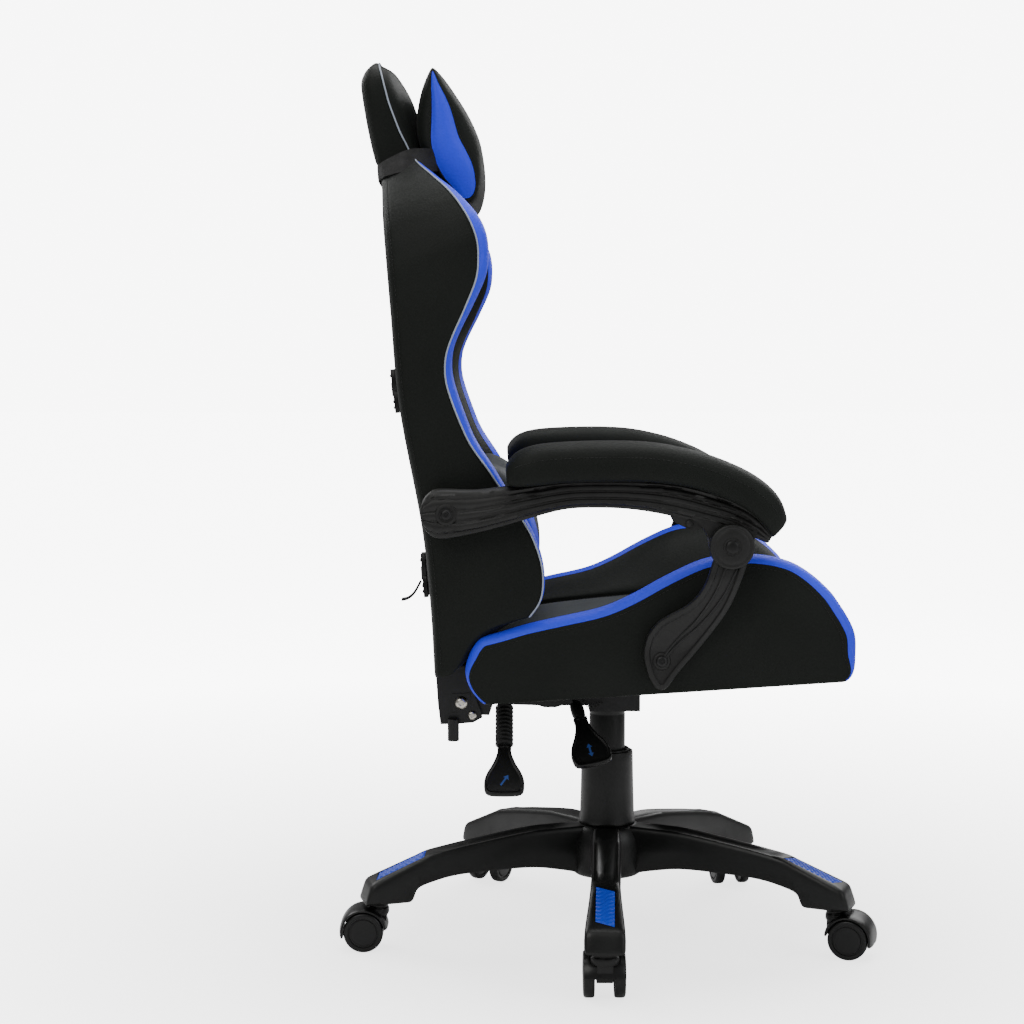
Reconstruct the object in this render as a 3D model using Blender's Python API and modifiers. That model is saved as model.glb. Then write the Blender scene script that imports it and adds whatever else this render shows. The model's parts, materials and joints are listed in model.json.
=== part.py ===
"""A reclining gaming chair, modelled in metres with +Z up and the seat facing +X.

Every solid is drawn in chair coordinates: the column stands on X = Y = 0 and the floor is Z = 0.
Each moving body hangs from an empty on its joint's axis. At the end the whole tree is moved so that
the object's box is centred on the origin and stands on the floor. The chair's right side is -Y.
"""

import math

import bmesh
import bpy
from mathutils import Matrix, Vector

OBJECT_NAME = "gaming_chair"
GAP = 0.0003  # clearance between touching pieces
SIDES = {"right": -1, "left": 1}

# Base and casters
LEG_COUNT = 5
FIRST_LEG_ANGLE = -93.0  # degrees, the leg beside the right armrest
STEM_CIRCLE_RADIUS = 0.300
HUB_TOP = 0.144
HUB_BOTTOM = 0.078
# Leg stations: distance out, top height, underside height, half width
LEG_STATIONS = (
    (0.024, 0.1435, 0.0790, 0.0170),
    (0.110, 0.1400, 0.0940, 0.0185),
    (0.180, 0.1290, 0.0910, 0.0175),
    (0.236, 0.1180, 0.0760, 0.0185),
    (0.272, 0.1031, 0.0625, 0.0215),
    (0.306, 0.0890, 0.0600, 0.0240),
    (0.317, 0.0815, 0.0600, 0.0235),
    (0.322, 0.0700, 0.0610, 0.0200),
)
LEG_CHAMFER = 0.006
INSERT_LENGTH = 0.075
INSERT_WIDTH = 0.022
INSERT_SKEW = 0.009
INSERT_THICKNESS = 0.0030
INSERT_SINK = 0.0012
WHEEL_RADIUS = 0.025
WHEEL_THICKNESS = 0.0130
CASTER_WIDTH = 0.049
CASTER_TRAIL = 0.019
HOOD_RADIUS = 0.0295
AXLE_RADIUS = 0.004
STEM_RADIUS = 0.0055
STEM_TOP = 0.080
CASTER_YAWS = (90.0, -20.0, 100.0, 60.0, 180.0)  # direction of each wheel from its stem

# Column
CYLINDER_RADIUS = 0.0190
CYLINDER_TOP = 0.225
ROD_RADIUS = 0.0135
ROD_TOP = 0.330
UPPER_COVER_RADIUS = 0.0230
UPPER_COVER_BOTTOM = 0.165
UPPER_COVER_TOP = 0.2985
LOWER_COVER_TOP = 0.235
LOWER_COVER_TOP_RADIUS = 0.0330
LOWER_COVER_BOTTOM_RADIUS = 0.0355

# Seat
SEAT_BOTTOM_REAR = (-0.155, 0.337)
SEAT_BOTTOM_FRONT = (0.267, 0.364)
SEAT_HALF_WIDTH = 0.258
BOLSTER_INNER = 0.1685
BOARD_THICKNESS = 0.012
SEAT_SIDE = (
    (-0.155, 0.337), (-0.179, 0.376), (-0.161, 0.413), (-0.132, 0.425), (-0.109, 0.432),
    (-0.067, 0.442), (-0.019, 0.449), (0.016, 0.465), (0.053, 0.487), (0.088, 0.504),
    (0.110, 0.511), (0.158, 0.514), (0.184, 0.510), (0.208, 0.503), (0.231, 0.487),
    (0.250, 0.469), (0.265, 0.446), (0.275, 0.430), (0.279, 0.418), (0.279, 0.399),
    (0.277, 0.375), (0.267, 0.364),
)
SEAT_CENTRE = (
    (-0.150, 0.3515), (-0.168, 0.372), (-0.150, 0.392), (-0.060, 0.412), (0.060, 0.424),
    (0.180, 0.432), (0.240, 0.430), (0.268, 0.414), (0.274, 0.395), (0.266, 0.3775),
)

# Backrest, leaning back, seen from the side
BACK_LINE = (
    (-0.213, 0.363), (-0.217, 0.447), (-0.227, 0.544), (-0.253, 0.684), (-0.263, 0.797),
    (-0.269, 0.860), (-0.274, 0.905), (-0.278, 0.944), (-0.290, 0.985),
)
WING_FRONT = (
    (-0.233, 0.968), (-0.209, 0.944), (-0.189, 0.928), (-0.172, 0.902), (-0.161, 0.884),
    (-0.158, 0.849), (-0.161, 0.831), (-0.175, 0.797), (-0.189, 0.767), (-0.197, 0.743),
    (-0.198, 0.718), (-0.193, 0.695), (-0.184, 0.669), (-0.171, 0.641), (-0.149, 0.610),
    (-0.136, 0.590), (-0.110, 0.552), (-0.098, 0.530), (-0.089, 0.505), (-0.086, 0.480),
    (-0.089, 0.458), (-0.099, 0.4405),
)
# The wing's underside, just clear of the seat's rear corner
WING_BOTTOM = ((-0.111, 0.4365), (-0.134, 0.4290), (-0.1655, 0.4170), (-0.1840, 0.3790), (-0.1870, 0.3700))
WING_INNER = 0.1955
WING_OUTER = 0.2500
SHOULDER_HEIGHT = 0.850
SHOULDER_SLOPE = 0.40  # the wings lean in above the shoulder
PANEL_THICKNESS = 0.004
PANEL_HALF_WIDTH = 0.1945
FRAME_TUBE_RADIUS = 0.0090
FRAME_HALF_WIDTH = 0.1855
FRAME_DEPTH = 0.0150  # tube centre in front of the back line
PAD_BACK_DEPTH = 0.0250
# Pad stations: height, depth of its front face, half width
PAD_STATIONS = (
    (0.412, 0.058, 0.165), (0.440, 0.076, 0.172), (0.520, 0.068, 0.172), (0.620, 0.059, 0.172),
    (0.720, 0.050, 0.172), (0.850, 0.058, 0.172), (0.920, 0.056, 0.142), (0.952, 0.048, 0.118),
)
HEAD_OUTLINE = (
    (-0.278, 0.9580), (-0.288, 0.979), (-0.298, 1.022), (-0.302, 1.046), (-0.307, 1.081),
    (-0.304, 1.093), (-0.286, 1.105), (-0.273, 1.102), (-0.261, 1.087), (-0.2475, 1.050),
    (-0.2465, 1.020), (-0.2400, 0.985), (-0.2380, 0.9580),
)
HEAD_HALF_WIDTH = 0.125
NECK_HALF_WIDTH = 0.108
NECK_TOP = 0.987
HEAD_PILLOW_OUTLINE = (
    (-0.2195, 1.097), (-0.200, 1.067), (-0.177, 1.038), (-0.162, 1.011), (-0.157, 0.976),
    (-0.158, 0.948), (-0.167, 0.925), (-0.193, 0.940), (-0.209, 0.960), (-0.2405, 1.005),
    (-0.2420, 1.035), (-0.236, 1.067),
)
HEAD_PILLOW_HALF_WIDTH = 0.125
STRAP_LOW, STRAP_HIGH = 0.9585, 0.9830
STRAP_THICKNESS = 0.002
LUMBAR_OUTLINE = (
    (-0.166, 0.660), (-0.142, 0.655), (-0.118, 0.630), (-0.100, 0.595), (-0.088, 0.550),
    (-0.082, 0.510), (-0.088, 0.486), (-0.104, 0.472), (-0.1350, 0.474), (-0.1470, 0.500),
    (-0.1560, 0.560), (-0.1700, 0.620),
)
LUMBAR_HALF_WIDTH = 0.165
WEBBING_HALF_WIDTH = 0.0125

# Recline hinge and the arm linkage, seen from the side
RECLINE_PIVOT = (-0.183, 0.332)
ARM_REAR_PIVOT = (-0.198, 0.5625)
ARM_FRONT_PIVOT = (0.127, 0.527)
LINK_PIVOT = (0.050, 0.392)
PLATE_INNER, PLATE_OUTER = 0.1952, 0.2005
EAR_INNER, EAR_OUTER = 0.1890, 0.1948
BOLT_RADIUS = 0.0050
HUB_BOLT_RADIUS = 0.0040
HUB_BOLT_PLAY = 0.0023  # room round the hub bolt in the link, where the linkage is left open
PLATE_OUTLINE = (
    (-0.214, 0.3585), (-0.208, 0.305), (-0.169, 0.308), (-0.158, 0.314), (-0.163, 0.330),
    (-0.176, 0.366), (-0.196, 0.3635),
)
LUG_OUTLINE = ((-0.199, 0.310), (-0.199, 0.287), (-0.186, 0.287), (-0.186, 0.312))
EAR_RADIUS = 0.015

# Arms
ARM_INNER, ARM_OUTER = 0.2620, 0.2905
ARM_PAD_INNER, ARM_PAD_OUTER = 0.2410, 0.3150
ARM_TOP_EDGE = (
    (-0.229, 0.572), (-0.223, 0.587), (-0.205, 0.593), (-0.166, 0.591), (-0.127, 0.5925),
    (-0.060, 0.5985), (0.016, 0.6005), (0.065, 0.5975), (0.103, 0.5885), (0.140, 0.5725),
    (0.161, 0.5555), (0.176, 0.537),
)
ARM_LOWER_EDGE = (
    (0.170, 0.529), (0.154, 0.533), (0.148, 0.514), (0.127, 0.505), (0.107, 0.515), (0.103, 0.535),
    (0.090, 0.552), (0.053, 0.562), (0.016, 0.568), (-0.035, 0.570), (-0.072, 0.568),
    (-0.099, 0.559), (-0.133, 0.549), (-0.166, 0.541), (-0.194, 0.535), (-0.214, 0.536),
    (-0.227, 0.549),
)
ARM_PAD_TOP = (
    (-0.130, 0.600), (-0.127, 0.615), (-0.110, 0.630), (-0.085, 0.640), (-0.035, 0.645),
    (0.016, 0.645), (0.053, 0.642), (0.098, 0.632), (0.140, 0.616), (0.166, 0.600),
    (0.185, 0.580), (0.195, 0.562), (0.195, 0.553), (0.183, 0.540),
)
HUB_RADIUS = 0.0256
LINK_THICKNESS = 0.0130
LINK_INNER = 0.2625
LINK_OFFSET = 0.0284  # how far its top stands out beyond its foot
LINK_OFFSET_LOW, LINK_OFFSET_HIGH = 0.407, 0.490  # heights between which it leans out
LINK_OUTLINE = (
    (0.108, 0.516), (0.096, 0.482), (0.079, 0.460), (0.047, 0.440), (0.032, 0.420),
    (0.029, 0.400), (0.036, 0.373), (0.044, 0.361), (0.054, 0.359), (0.071, 0.381),
    (0.099, 0.415), (0.126, 0.457), (0.146, 0.512),
)

# Levers, hanging out and down from the right side of the mechanism
LEVER_DROP = 50.0  # degrees below level
LEVER_ROD_RADIUS = 0.0042
LEVER_BEND_Y = -0.150
LIFT_LEVER_X = -0.045
RECLINE_LEVER_X = -0.132
LEVER_HEIGHT = 0.3200
BOOT_RADIUS = 0.0102
BOOT_START, BOOT_END = 0.012, 0.056  # along the rod, from its bend
PADDLE_THICKNESS = 0.008
PADDLE_LENGTH = 0.066
PADDLE_WIDTH = 0.048

MECHANISM_OUTLINE = (
    (-0.150, 0.3360), (-0.150, 0.309), (-0.090, 0.307), (-0.082, 0.3045), (-0.068, 0.3045),
    (-0.060, 0.307), (-0.026, 0.307), (-0.026, 0.2995), (0.038, 0.2995), (0.038, 0.3485),
)
MECHANISM_HALF_WIDTH = 0.070

# Name: colour, roughness, metallic
MATERIALS = {
    "black_leather": ((0.016, 0.018, 0.016), 0.45, 0.0),
    "blue_leather": ((0.03, 0.09, 0.75), 0.45, 0.0),
    "grey_leather": ((0.07, 0.075, 0.07), 0.5, 0.0),
    "black_plastic": ((0.012, 0.013, 0.012), 0.35, 0.0),
    "blue_plastic": ((0.02, 0.07, 0.70), 0.4, 0.0),
    "black_steel": ((0.012, 0.013, 0.014), 0.4, 0.6),
    "bright_steel": ((0.65, 0.63, 0.58), 0.25, 1.0),
    "black_webbing": ((0.012, 0.012, 0.012), 0.9, 0.0),
    "black_tyre": ((0.018, 0.018, 0.018), 0.6, 0.0),
    "plywood": ((0.45, 0.30, 0.16), 0.7, 0.0),
}


def clear_scene():
    for obj in list(bpy.data.objects):
        bpy.data.objects.remove(obj, do_unlink=True)


def new_collection(name, hidden):
    made = bpy.data.collections.new(name)
    made.hide_render = hidden
    bpy.context.scene.collection.children.link(made)
    return made


def new_material(name, node_name):
    """A material of one sub-part's own."""
    colour, roughness, metallic = MATERIALS[name]
    made = bpy.data.materials.new(f"{name}_{node_name}")
    made.use_nodes = True
    shader = made.node_tree.nodes["Principled BSDF"]
    shader.inputs["Base Color"].default_value = (*colour, 1.0)
    shader.inputs["Roughness"].default_value = roughness
    shader.inputs["Metallic"].default_value = metallic
    return made


def new_pivot(name, place, parent=None, yaw=0.0):
    """An empty on a joint's axis. Its place is given in its parent's coordinates."""
    empty = bpy.data.objects.new(name, None)
    empty.empty_display_size = 0.03
    PARTS.objects.link(empty)
    empty.parent = parent
    empty.location = place
    empty.rotation_euler.z = math.radians(yaw)
    return empty


def new_part(name, mesh, material, parent, at=(0, 0, 0), bevel=0.0):
    """One sub-part. Its mesh is in chair coordinates, and at is where its parent empty stands."""
    obj = bpy.data.objects.new(name, mesh)
    mesh.materials.clear()
    mesh.materials.append(new_material(material, name))
    mesh.shade_smooth()
    mesh.set_sharp_from_angle(angle=math.radians(35))
    PARTS.objects.link(obj)
    obj.parent = parent
    obj.location = -Vector(at)
    if bevel:
        add_bevel(obj, bevel)
    return obj


def add_bevel(obj, width, segments=1):
    modifier = obj.modifiers.new("rounded_edges", "BEVEL")
    modifier.width = width
    modifier.segments = segments
    modifier.limit_method = "ANGLE"
    modifier.angle_limit = math.radians(40)


def new_cutter(name, mesh, owner):
    """A helper solid for a Boolean, in the same coordinates as its owner."""
    obj = bpy.data.objects.new(name, mesh)
    CUTTERS.objects.link(obj)
    obj.parent = owner
    obj.hide_render = True
    obj.display_type = "WIRE"
    return obj


def boolean(obj, operation, name, mesh, solver="EXACT"):
    modifier = obj.modifiers.new(name, "BOOLEAN")
    modifier.operation = operation
    modifier.solver = solver
    modifier.object = new_cutter(f"{obj.name}_{name}", mesh, obj)


def mesh_from(bm, name):
    bmesh.ops.recalc_face_normals(bm, faces=bm.faces)
    mesh = bpy.data.meshes.new(name)
    bm.to_mesh(mesh)
    bm.free()
    return mesh


def cylinder_mesh(radius, start, end, segments=24, top_radius=None):
    """A cylinder or cone between two points."""
    start, end = Vector(start), Vector(end)
    bm = bmesh.new()
    bmesh.ops.create_cone(
        bm, cap_ends=True, segments=segments, radius1=radius,
        radius2=radius if top_radius is None else top_radius, depth=(end - start).length,
    )
    turn = Vector((0, 0, 1)).rotation_difference(end - start).to_matrix().to_4x4()
    bmesh.ops.transform(bm, matrix=Matrix.Translation((start + end) / 2) @ turn, verts=bm.verts)
    return mesh_from(bm, "cylinder")


def box_mesh(low, high):
    low, high = Vector(low), Vector(high)
    bm = bmesh.new()
    bmesh.ops.create_cube(bm, size=1.0)
    bmesh.ops.scale(bm, vec=high - low, verts=bm.verts)
    bmesh.ops.translate(bm, vec=(low + high) / 2, verts=bm.verts)
    return mesh_from(bm, "box")


def made_mesh(curve):
    """The mesh of a curve, with its caps welded on and its flat faces made whole."""
    holder = bpy.data.objects.new("outline", curve)
    bpy.context.scene.collection.objects.link(holder)
    bpy.context.view_layer.update()
    mesh = bpy.data.meshes.new_from_object(holder.evaluated_get(bpy.context.evaluated_depsgraph_get()))
    bpy.data.objects.remove(holder)
    bpy.data.curves.remove(curve)
    bm = bmesh.new()
    bm.from_mesh(mesh)
    bmesh.ops.remove_doubles(bm, verts=bm.verts, dist=1e-5)
    bmesh.ops.dissolve_limit(bm, angle_limit=math.radians(0.5), verts=bm.verts, edges=bm.edges)
    bpy.data.meshes.remove(mesh)
    return mesh_from(bm, "outline")


def outline_mesh(outlines, thickness):
    """Flat outlines in XY, thickened both ways along Z. An inner outline is a hole."""
    curve = bpy.data.curves.new("outline", "CURVE")
    curve.dimensions = "2D"
    curve.fill_mode = "BOTH"
    curve.extrude = thickness / 2
    for points in outlines:
        spline = curve.splines.new("POLY")
        spline.points.add(len(points) - 1)
        for point, (x, y) in zip(spline.points, points):
            point.co = (x, y, 0, 1)
        spline.use_cyclic_u = True
    return made_mesh(curve)


def side_mesh(outline, y_one, y_other):
    """An outline seen from the side (X, Z), thick from one Y to the other."""
    mesh = outline_mesh([outline], abs(y_other - y_one))
    upright = Matrix.Rotation(math.radians(90), 4, "X")
    mesh.transform(Matrix.Translation((0, (y_one + y_other) / 2, 0)) @ upright)
    return mesh


def cut_at_heights(mesh, heights):
    """Adds edges round a mesh at some heights, where it is then bent."""
    bm = bmesh.new()
    bm.from_mesh(mesh)
    for height in heights:
        everything = list(bm.verts) + list(bm.edges) + list(bm.faces)
        bmesh.ops.bisect_plane(bm, geom=everything, plane_co=(0, 0, height), plane_no=(0, 0, 1))
    bm.to_mesh(mesh)
    bm.free()


def wire_mesh(points, radius, cyclic=False, resolution=2):
    """A round rod along points."""
    curve = bpy.data.curves.new("wire", "CURVE")
    curve.dimensions = "3D"
    curve.bevel_depth = radius
    curve.bevel_resolution = resolution
    curve.use_fill_caps = True
    spline = curve.splines.new("POLY")
    spline.points.add(len(points) - 1)
    for point, place in zip(spline.points, points):
        point.co = (*place, 1)
    spline.use_cyclic_u = cyclic
    return made_mesh(curve)


def loft_mesh(sections, name):
    """A solid through rings that have the same number of points, closed at both ends."""
    bm = bmesh.new()
    rings = [[bm.verts.new(point) for point in section] for section in sections]
    for one, other in zip(rings, rings[1:]):
        for i in range(len(one)):
            j = (i + 1) % len(one)
            bm.faces.new((one[i], one[j], other[j], other[i]))
    bm.faces.new(rings[0])
    bm.faces.new(rings[-1])
    return mesh_from(bm, name)


def turned_part(name, profile, material, parent, at=(0, 0, 0), steps=24, along="Z", closed=True):
    """A turned piece from a (radius, height) profile that runs down its outer side."""
    mesh = bpy.data.meshes.new(name)
    edges = [(i, i + 1) for i in range(len(profile) - 1)]
    if closed:
        edges.append((len(profile) - 1, 0))
    mesh.from_pydata([(radius, 0, height) for radius, height in profile], edges, [])
    obj = new_part(name, mesh, material, parent)
    modifier = obj.modifiers.new("turned", "SCREW")
    modifier.steps = modifier.render_steps = steps
    modifier.use_merge_vertices = True
    modifier.merge_threshold = 0.00005
    modifier.use_smooth_shade = True
    obj.location = at
    if along == "Y":
        obj.rotation_euler.x = math.radians(90)
    return obj


def seat_bottom(x):
    """Height of the seat's underside, which rises towards the front."""
    (x0, z0), (x1, z1) = SEAT_BOTTOM_REAR, SEAT_BOTTOM_FRONT
    return z0 + (z1 - z0) * (x - x0) / (x1 - x0)


def back_x(z):
    """X of the backrest's rear face at a height."""
    for (x0, z0), (x1, z1) in zip(BACK_LINE, BACK_LINE[1:]):
        if z <= z1:
            break
    return x0 + (x1 - x0) * (z - z0) / (z1 - z0)


def arc(centre, radius, start, end, count):
    """Points of an arc in a plane, by angles in degrees."""
    turn = [math.radians(start + (end - start) * i / (count - 1)) for i in range(count)]
    return [(centre[0] + radius * math.cos(a), centre[1] + radius * math.sin(a)) for a in turn]


def leg_frame(index):
    """Matrix from a leg's own coordinates, +X outward, to the chair's."""
    return Matrix.Rotation(math.radians(FIRST_LEG_ANGLE + index * 360 / LEG_COUNT), 4, "Z")


def leg_mesh():
    sections = []
    for out, top, low, half in LEG_STATIONS:
        shoulder = min(LEG_CHAMFER, (top - low) / 2)
        sections.append([
            (out, -half, low), (out, half, low), (out, half, top - shoulder),
            (out, half - shoulder, top), (out, shoulder - half, top), (out, -half, top - shoulder),
        ])
    return loft_mesh(sections, "leg")


def insert_frame():
    """Matrix to the slope near a leg's end, with +X down the slope and +Z out of it."""
    (x0, z0), (x1, z1) = [(station[0], station[1]) for station in (LEG_STATIONS[3], LEG_STATIONS[5])]
    slope = Matrix.Rotation(math.atan2(z0 - z1, x1 - x0), 4, "Y")
    return Matrix.Translation(((x0 + x1) / 2, 0, (z0 + z1) / 2)) @ slope


def insert_mesh(grow, low, high):
    """The leg's leaning, four-cornered insert, or the pocket that it sits in."""
    length, width = INSERT_LENGTH / 2 + grow, INSERT_WIDTH / 2 + grow
    outline = [
        (-length, -width), (length - INSERT_SKEW, -width), (length, width), (INSERT_SKEW - length, width),
    ]
    mesh = outline_mesh([outline], high - low)
    mesh.transform(insert_frame() @ Matrix.Translation((0, 0, (low + high) / 2)))
    return mesh


def build_base(root):
    bore = CYLINDER_RADIUS + GAP
    hub = turned_part("star_base", [
        (0.0360, HUB_TOP), (0.0420, 0.1400), (0.0480, 0.1300), (0.0500, 0.1000), (0.0460, 0.0840),
        (0.0400, HUB_BOTTOM), (bore, HUB_BOTTOM), (bore, HUB_TOP),
    ], "black_plastic", root, steps=30)
    leg = leg_mesh()
    pocket = insert_mesh(0.0005, -INSERT_SINK - GAP, 0.006)
    socket_top = STEM_TOP + 0.001
    socket = cylinder_mesh(
        STEM_RADIUS + GAP, (STEM_CIRCLE_RADIUS, 0, 0.05), (STEM_CIRCLE_RADIUS, 0, socket_top), 16
    )
    for index in range(LEG_COUNT):
        for operation, name, mesh in (
            ("UNION", "leg", leg), ("DIFFERENCE", "pocket", pocket), ("DIFFERENCE", "socket", socket),
        ):
            turned = mesh.copy()
            turned.transform(leg_frame(index))
            boolean(hub, operation, f"{name}_{index + 1}", turned, "MANIFOLD")
        insert = insert_mesh(0.0, -INSERT_SINK, INSERT_THICKNESS - INSERT_SINK)
        insert.transform(leg_frame(index))
        new_part(f"leg_insert_{index + 1}", insert, "blue_plastic", root, bevel=0.0006)


def caster_hood_mesh():
    """The hood over both wheels, seen from the side in the caster's own coordinates."""
    axle = (CASTER_TRAIL, WHEEL_RADIUS)
    outline = arc(axle, HOOD_RADIUS, -12, 165, 13)
    outline += [(-0.0075, 0.0330), (-0.0070, 0.0200), (0.0080, 0.0120), (0.0210, 0.0110)]
    return side_mesh(outline, -CASTER_WIDTH / 2, CASTER_WIDTH / 2)


def build_caster(index, root):
    name = f"caster_{index + 1}"
    place = leg_frame(index) @ Vector((STEM_CIRCLE_RADIUS, 0, 0))
    swivel = new_pivot(f"{name}_swivel", place, root, CASTER_YAWS[index])
    hood = new_part(f"{name}_hood", caster_hood_mesh(), "black_plastic", swivel, bevel=0.0012)
    inner = CASTER_WIDTH / 2 - WHEEL_THICKNESS - 0.0010
    for side, sign in SIDES.items():
        wheel_room = cylinder_mesh(
            WHEEL_RADIUS + 0.0012, (CASTER_TRAIL, sign * inner, WHEEL_RADIUS),
            (CASTER_TRAIL, sign * CASTER_WIDTH, WHEEL_RADIUS), 28,
        )
        boolean(hood, "DIFFERENCE", f"wheel_room_{side}", wheel_room)
    axle_hole = cylinder_mesh(
        AXLE_RADIUS + GAP, (CASTER_TRAIL, -0.03, WHEEL_RADIUS), (CASTER_TRAIL, 0.03, WHEEL_RADIUS), 12
    )
    boolean(hood, "DIFFERENCE", "axle_hole", axle_hole)
    collar = cylinder_mesh(0.0105, (0, 0, 0.040), (0, 0, 0.0590), 20)
    boolean(hood, "UNION", "collar", collar)
    boolean(hood, "UNION", "stem", cylinder_mesh(STEM_RADIUS, (0, 0, 0.045), (0, 0, STEM_TOP), 16))
    axle = new_pivot(f"{name}_axle", (CASTER_TRAIL, 0, WHEEL_RADIUS), swivel)
    outer = CASTER_WIDTH / 2
    profile = [
        (0.0120, outer), (WHEEL_RADIUS - 0.0020, outer), (WHEEL_RADIUS, outer - 0.002),
        (WHEEL_RADIUS, outer - WHEEL_THICKNESS), (AXLE_RADIUS, outer - WHEEL_THICKNESS),
    ]
    profile += [(radius, -height) for radius, height in reversed(profile)]
    profile = [(0.0, outer - 0.0015)] + profile + [(0.0, 0.0015 - outer)]
    turned_part(f"{name}_wheels", profile, "black_tyre", axle, steps=24, along="Y", closed=False)


def tube_profile(outer_top, outer_low, top, low, wall):
    return [(outer_top, top), (outer_low, low), (outer_low - wall, low), (outer_top - wall, top)]


def build_column(root):
    """The gas cylinder with its three cover stages, and the rod that the seat turns on."""
    turned_part("gas_cylinder", [
        (0.0, 0.085), (ROD_RADIUS + GAP, 0.085), (ROD_RADIUS + GAP, CYLINDER_TOP),
        (CYLINDER_RADIUS, CYLINDER_TOP), (CYLINDER_RADIUS, 0.072), (0.0, 0.072),
    ], "black_steel", root, closed=False)
    turned_part("cover_lower", tube_profile(
        LOWER_COVER_TOP_RADIUS, LOWER_COVER_BOTTOM_RADIUS, LOWER_COVER_TOP, HUB_TOP + GAP, 0.0030,
    ), "black_plastic", root, steps=32)
    middle = new_pivot("cover_slide", (0, 0, HUB_TOP), root)
    turned_part("cover_middle", tube_profile(0.0285, 0.0285, 0.2340, 0.1500, 0.0020),
                "black_plastic", middle, at=(0, 0, -HUB_TOP))
    lift = new_pivot("lift_slide", (0, 0, CYLINDER_TOP), root)
    turned_part("piston_rod", [
        (0.0, ROD_TOP), (ROD_RADIUS, ROD_TOP), (ROD_RADIUS, 0.100), (0.0, 0.100),
    ], "bright_steel", lift, at=(0, 0, -CYLINDER_TOP), closed=False)
    turned_part("cover_upper", tube_profile(
        UPPER_COVER_RADIUS, UPPER_COVER_RADIUS, UPPER_COVER_TOP, UPPER_COVER_BOTTOM, 0.0026,
    ), "black_plastic", lift, at=(0, 0, -CYLINDER_TOP), steps=28)
    return lift


def build_seat(swivel, at):
    mechanism = new_part(
        "mechanism", side_mesh(MECHANISM_OUTLINE, -MECHANISM_HALF_WIDTH, MECHANISM_HALF_WIDTH),
        "black_steel", swivel, at,
    )
    boolean(mechanism, "DIFFERENCE", "socket",
            cylinder_mesh(ROD_RADIUS + GAP, (0, 0, 0.28), (0, 0, ROD_TOP + 0.001)), "MANIFOLD")
    rear, front = -0.150, 0.262
    board = [
        (rear, seat_bottom(rear)), (front, seat_bottom(front)),
        (front, seat_bottom(front) + BOARD_THICKNESS), (rear, seat_bottom(rear) + BOARD_THICKNESS),
    ]
    half = BOLSTER_INNER - 0.0010
    new_part("seat_board", side_mesh(board, -half, half), "plywood", swivel, at)
    new_part("seat_cushion", side_mesh(SEAT_CENTRE, -half, half), "grey_leather", swivel, at, 0.006)
    for side, sign in SIDES.items():
        bolster = side_mesh(SEAT_SIDE, sign * BOLSTER_INNER, sign * SEAT_HALF_WIDTH)
        new_part(f"seat_bolster_{side}", bolster, "black_leather", swivel, at, bevel=0.006)
        build_hinge_bracket(side, sign, swivel, at)


def build_hinge_bracket(side, sign, swivel, at):
    """The seat's ear at the recline hinge, with a flange under the seat board, and its bolt."""
    x, z = RECLINE_PIVOT
    ear = arc(RECLINE_PIVOT, EAR_RADIUS, 60, 270, 9)
    ear += [(-0.150, 0.3160), (-0.143, seat_bottom(-0.143) - 0.0010), (-0.158, seat_bottom(-0.158) - 0.0010)]
    bracket = new_part(f"hinge_bracket_{side}", side_mesh(ear, sign * EAR_INNER, sign * EAR_OUTER),
                       "black_steel", swivel, at)
    flange = [
        (-0.156, seat_bottom(-0.156) - 0.0040), (-0.095, seat_bottom(-0.095) - 0.0040),
        (-0.095, seat_bottom(-0.095) - 0.0006), (-0.156, seat_bottom(-0.156) - 0.0006),
    ]
    boolean(bracket, "UNION", "flange", side_mesh(flange, sign * 0.110, sign * (EAR_OUTER - 0.0005)))
    hole = cylinder_mesh(BOLT_RADIUS + GAP, (x, sign * 0.17, z), (x, sign * 0.22, z), 16)
    boolean(bracket, "DIFFERENCE", "hole", hole)
    bolt(f"recline_bolt_{side}", (x, z), sign, PLATE_OUTER + GAP, 0.1780, 0.0072, swivel, at,
         material="bright_steel")


def bolt(name, place, sign, face, tip, head_radius, parent, at, radius=BOLT_RADIUS, material="black_steel"):
    """A domed bolt along Y, its head on a face and its tip towards the middle of the chair."""
    x, z = place
    head = head_radius * 0.62
    profile = [
        (0.0, head), (head_radius * 0.45, head * 0.88), (head_radius * 0.82, head * 0.50),
        (head_radius, 0.0), (radius, 0.0), (radius, tip - face), (0.0, tip - face),
    ]
    made = turned_part(name, profile, material, parent, steps=20, along="Y", closed=False,
                       at=Vector((x, sign * face, z)) - Vector(at))
    made.rotation_euler.x = math.radians(-90 * sign)


def build_backrest(recline, at):
    for side, sign in SIDES.items():
        build_wing(side, sign, recline, at)
        build_recline_plate(side, sign, recline, at)
    pad = []
    for height, depth, half in PAD_STATIONS:
        back = back_x(height) + PAD_BACK_DEPTH
        front = back_x(height) + depth
        pad.append([(back, -half, height), (front, 0.01 - half, height), (front, half - 0.01, height),
                    (back, half, height)])
    new_part("backrest_pad", loft_mesh(pad, "pad"), "grey_leather", recline, at, bevel=0.005)
    panel = side_strip(0.3800, 0.9500, 0.0, PANEL_THICKNESS, PANEL_HALF_WIDTH)
    taper_shoulders(panel, PANEL_HALF_WIDTH)
    new_part("rear_panel", panel, "black_leather", recline, at)
    new_part("backrest_frame", wire_mesh(frame_route(), FRAME_TUBE_RADIUS), "black_steel", recline, at)
    head = side_mesh(HEAD_OUTLINE, -HEAD_HALF_WIDTH, HEAD_HALF_WIDTH)
    cut_at_heights(head, (NECK_TOP, NECK_TOP + 0.016))
    for vertex in head.vertices:
        if vertex.co.z < NECK_TOP + GAP:
            vertex.co.y = math.copysign(NECK_HALF_WIDTH, vertex.co.y)
    new_part("head_section", head, "black_leather", recline, at, bevel=0.005)


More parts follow.
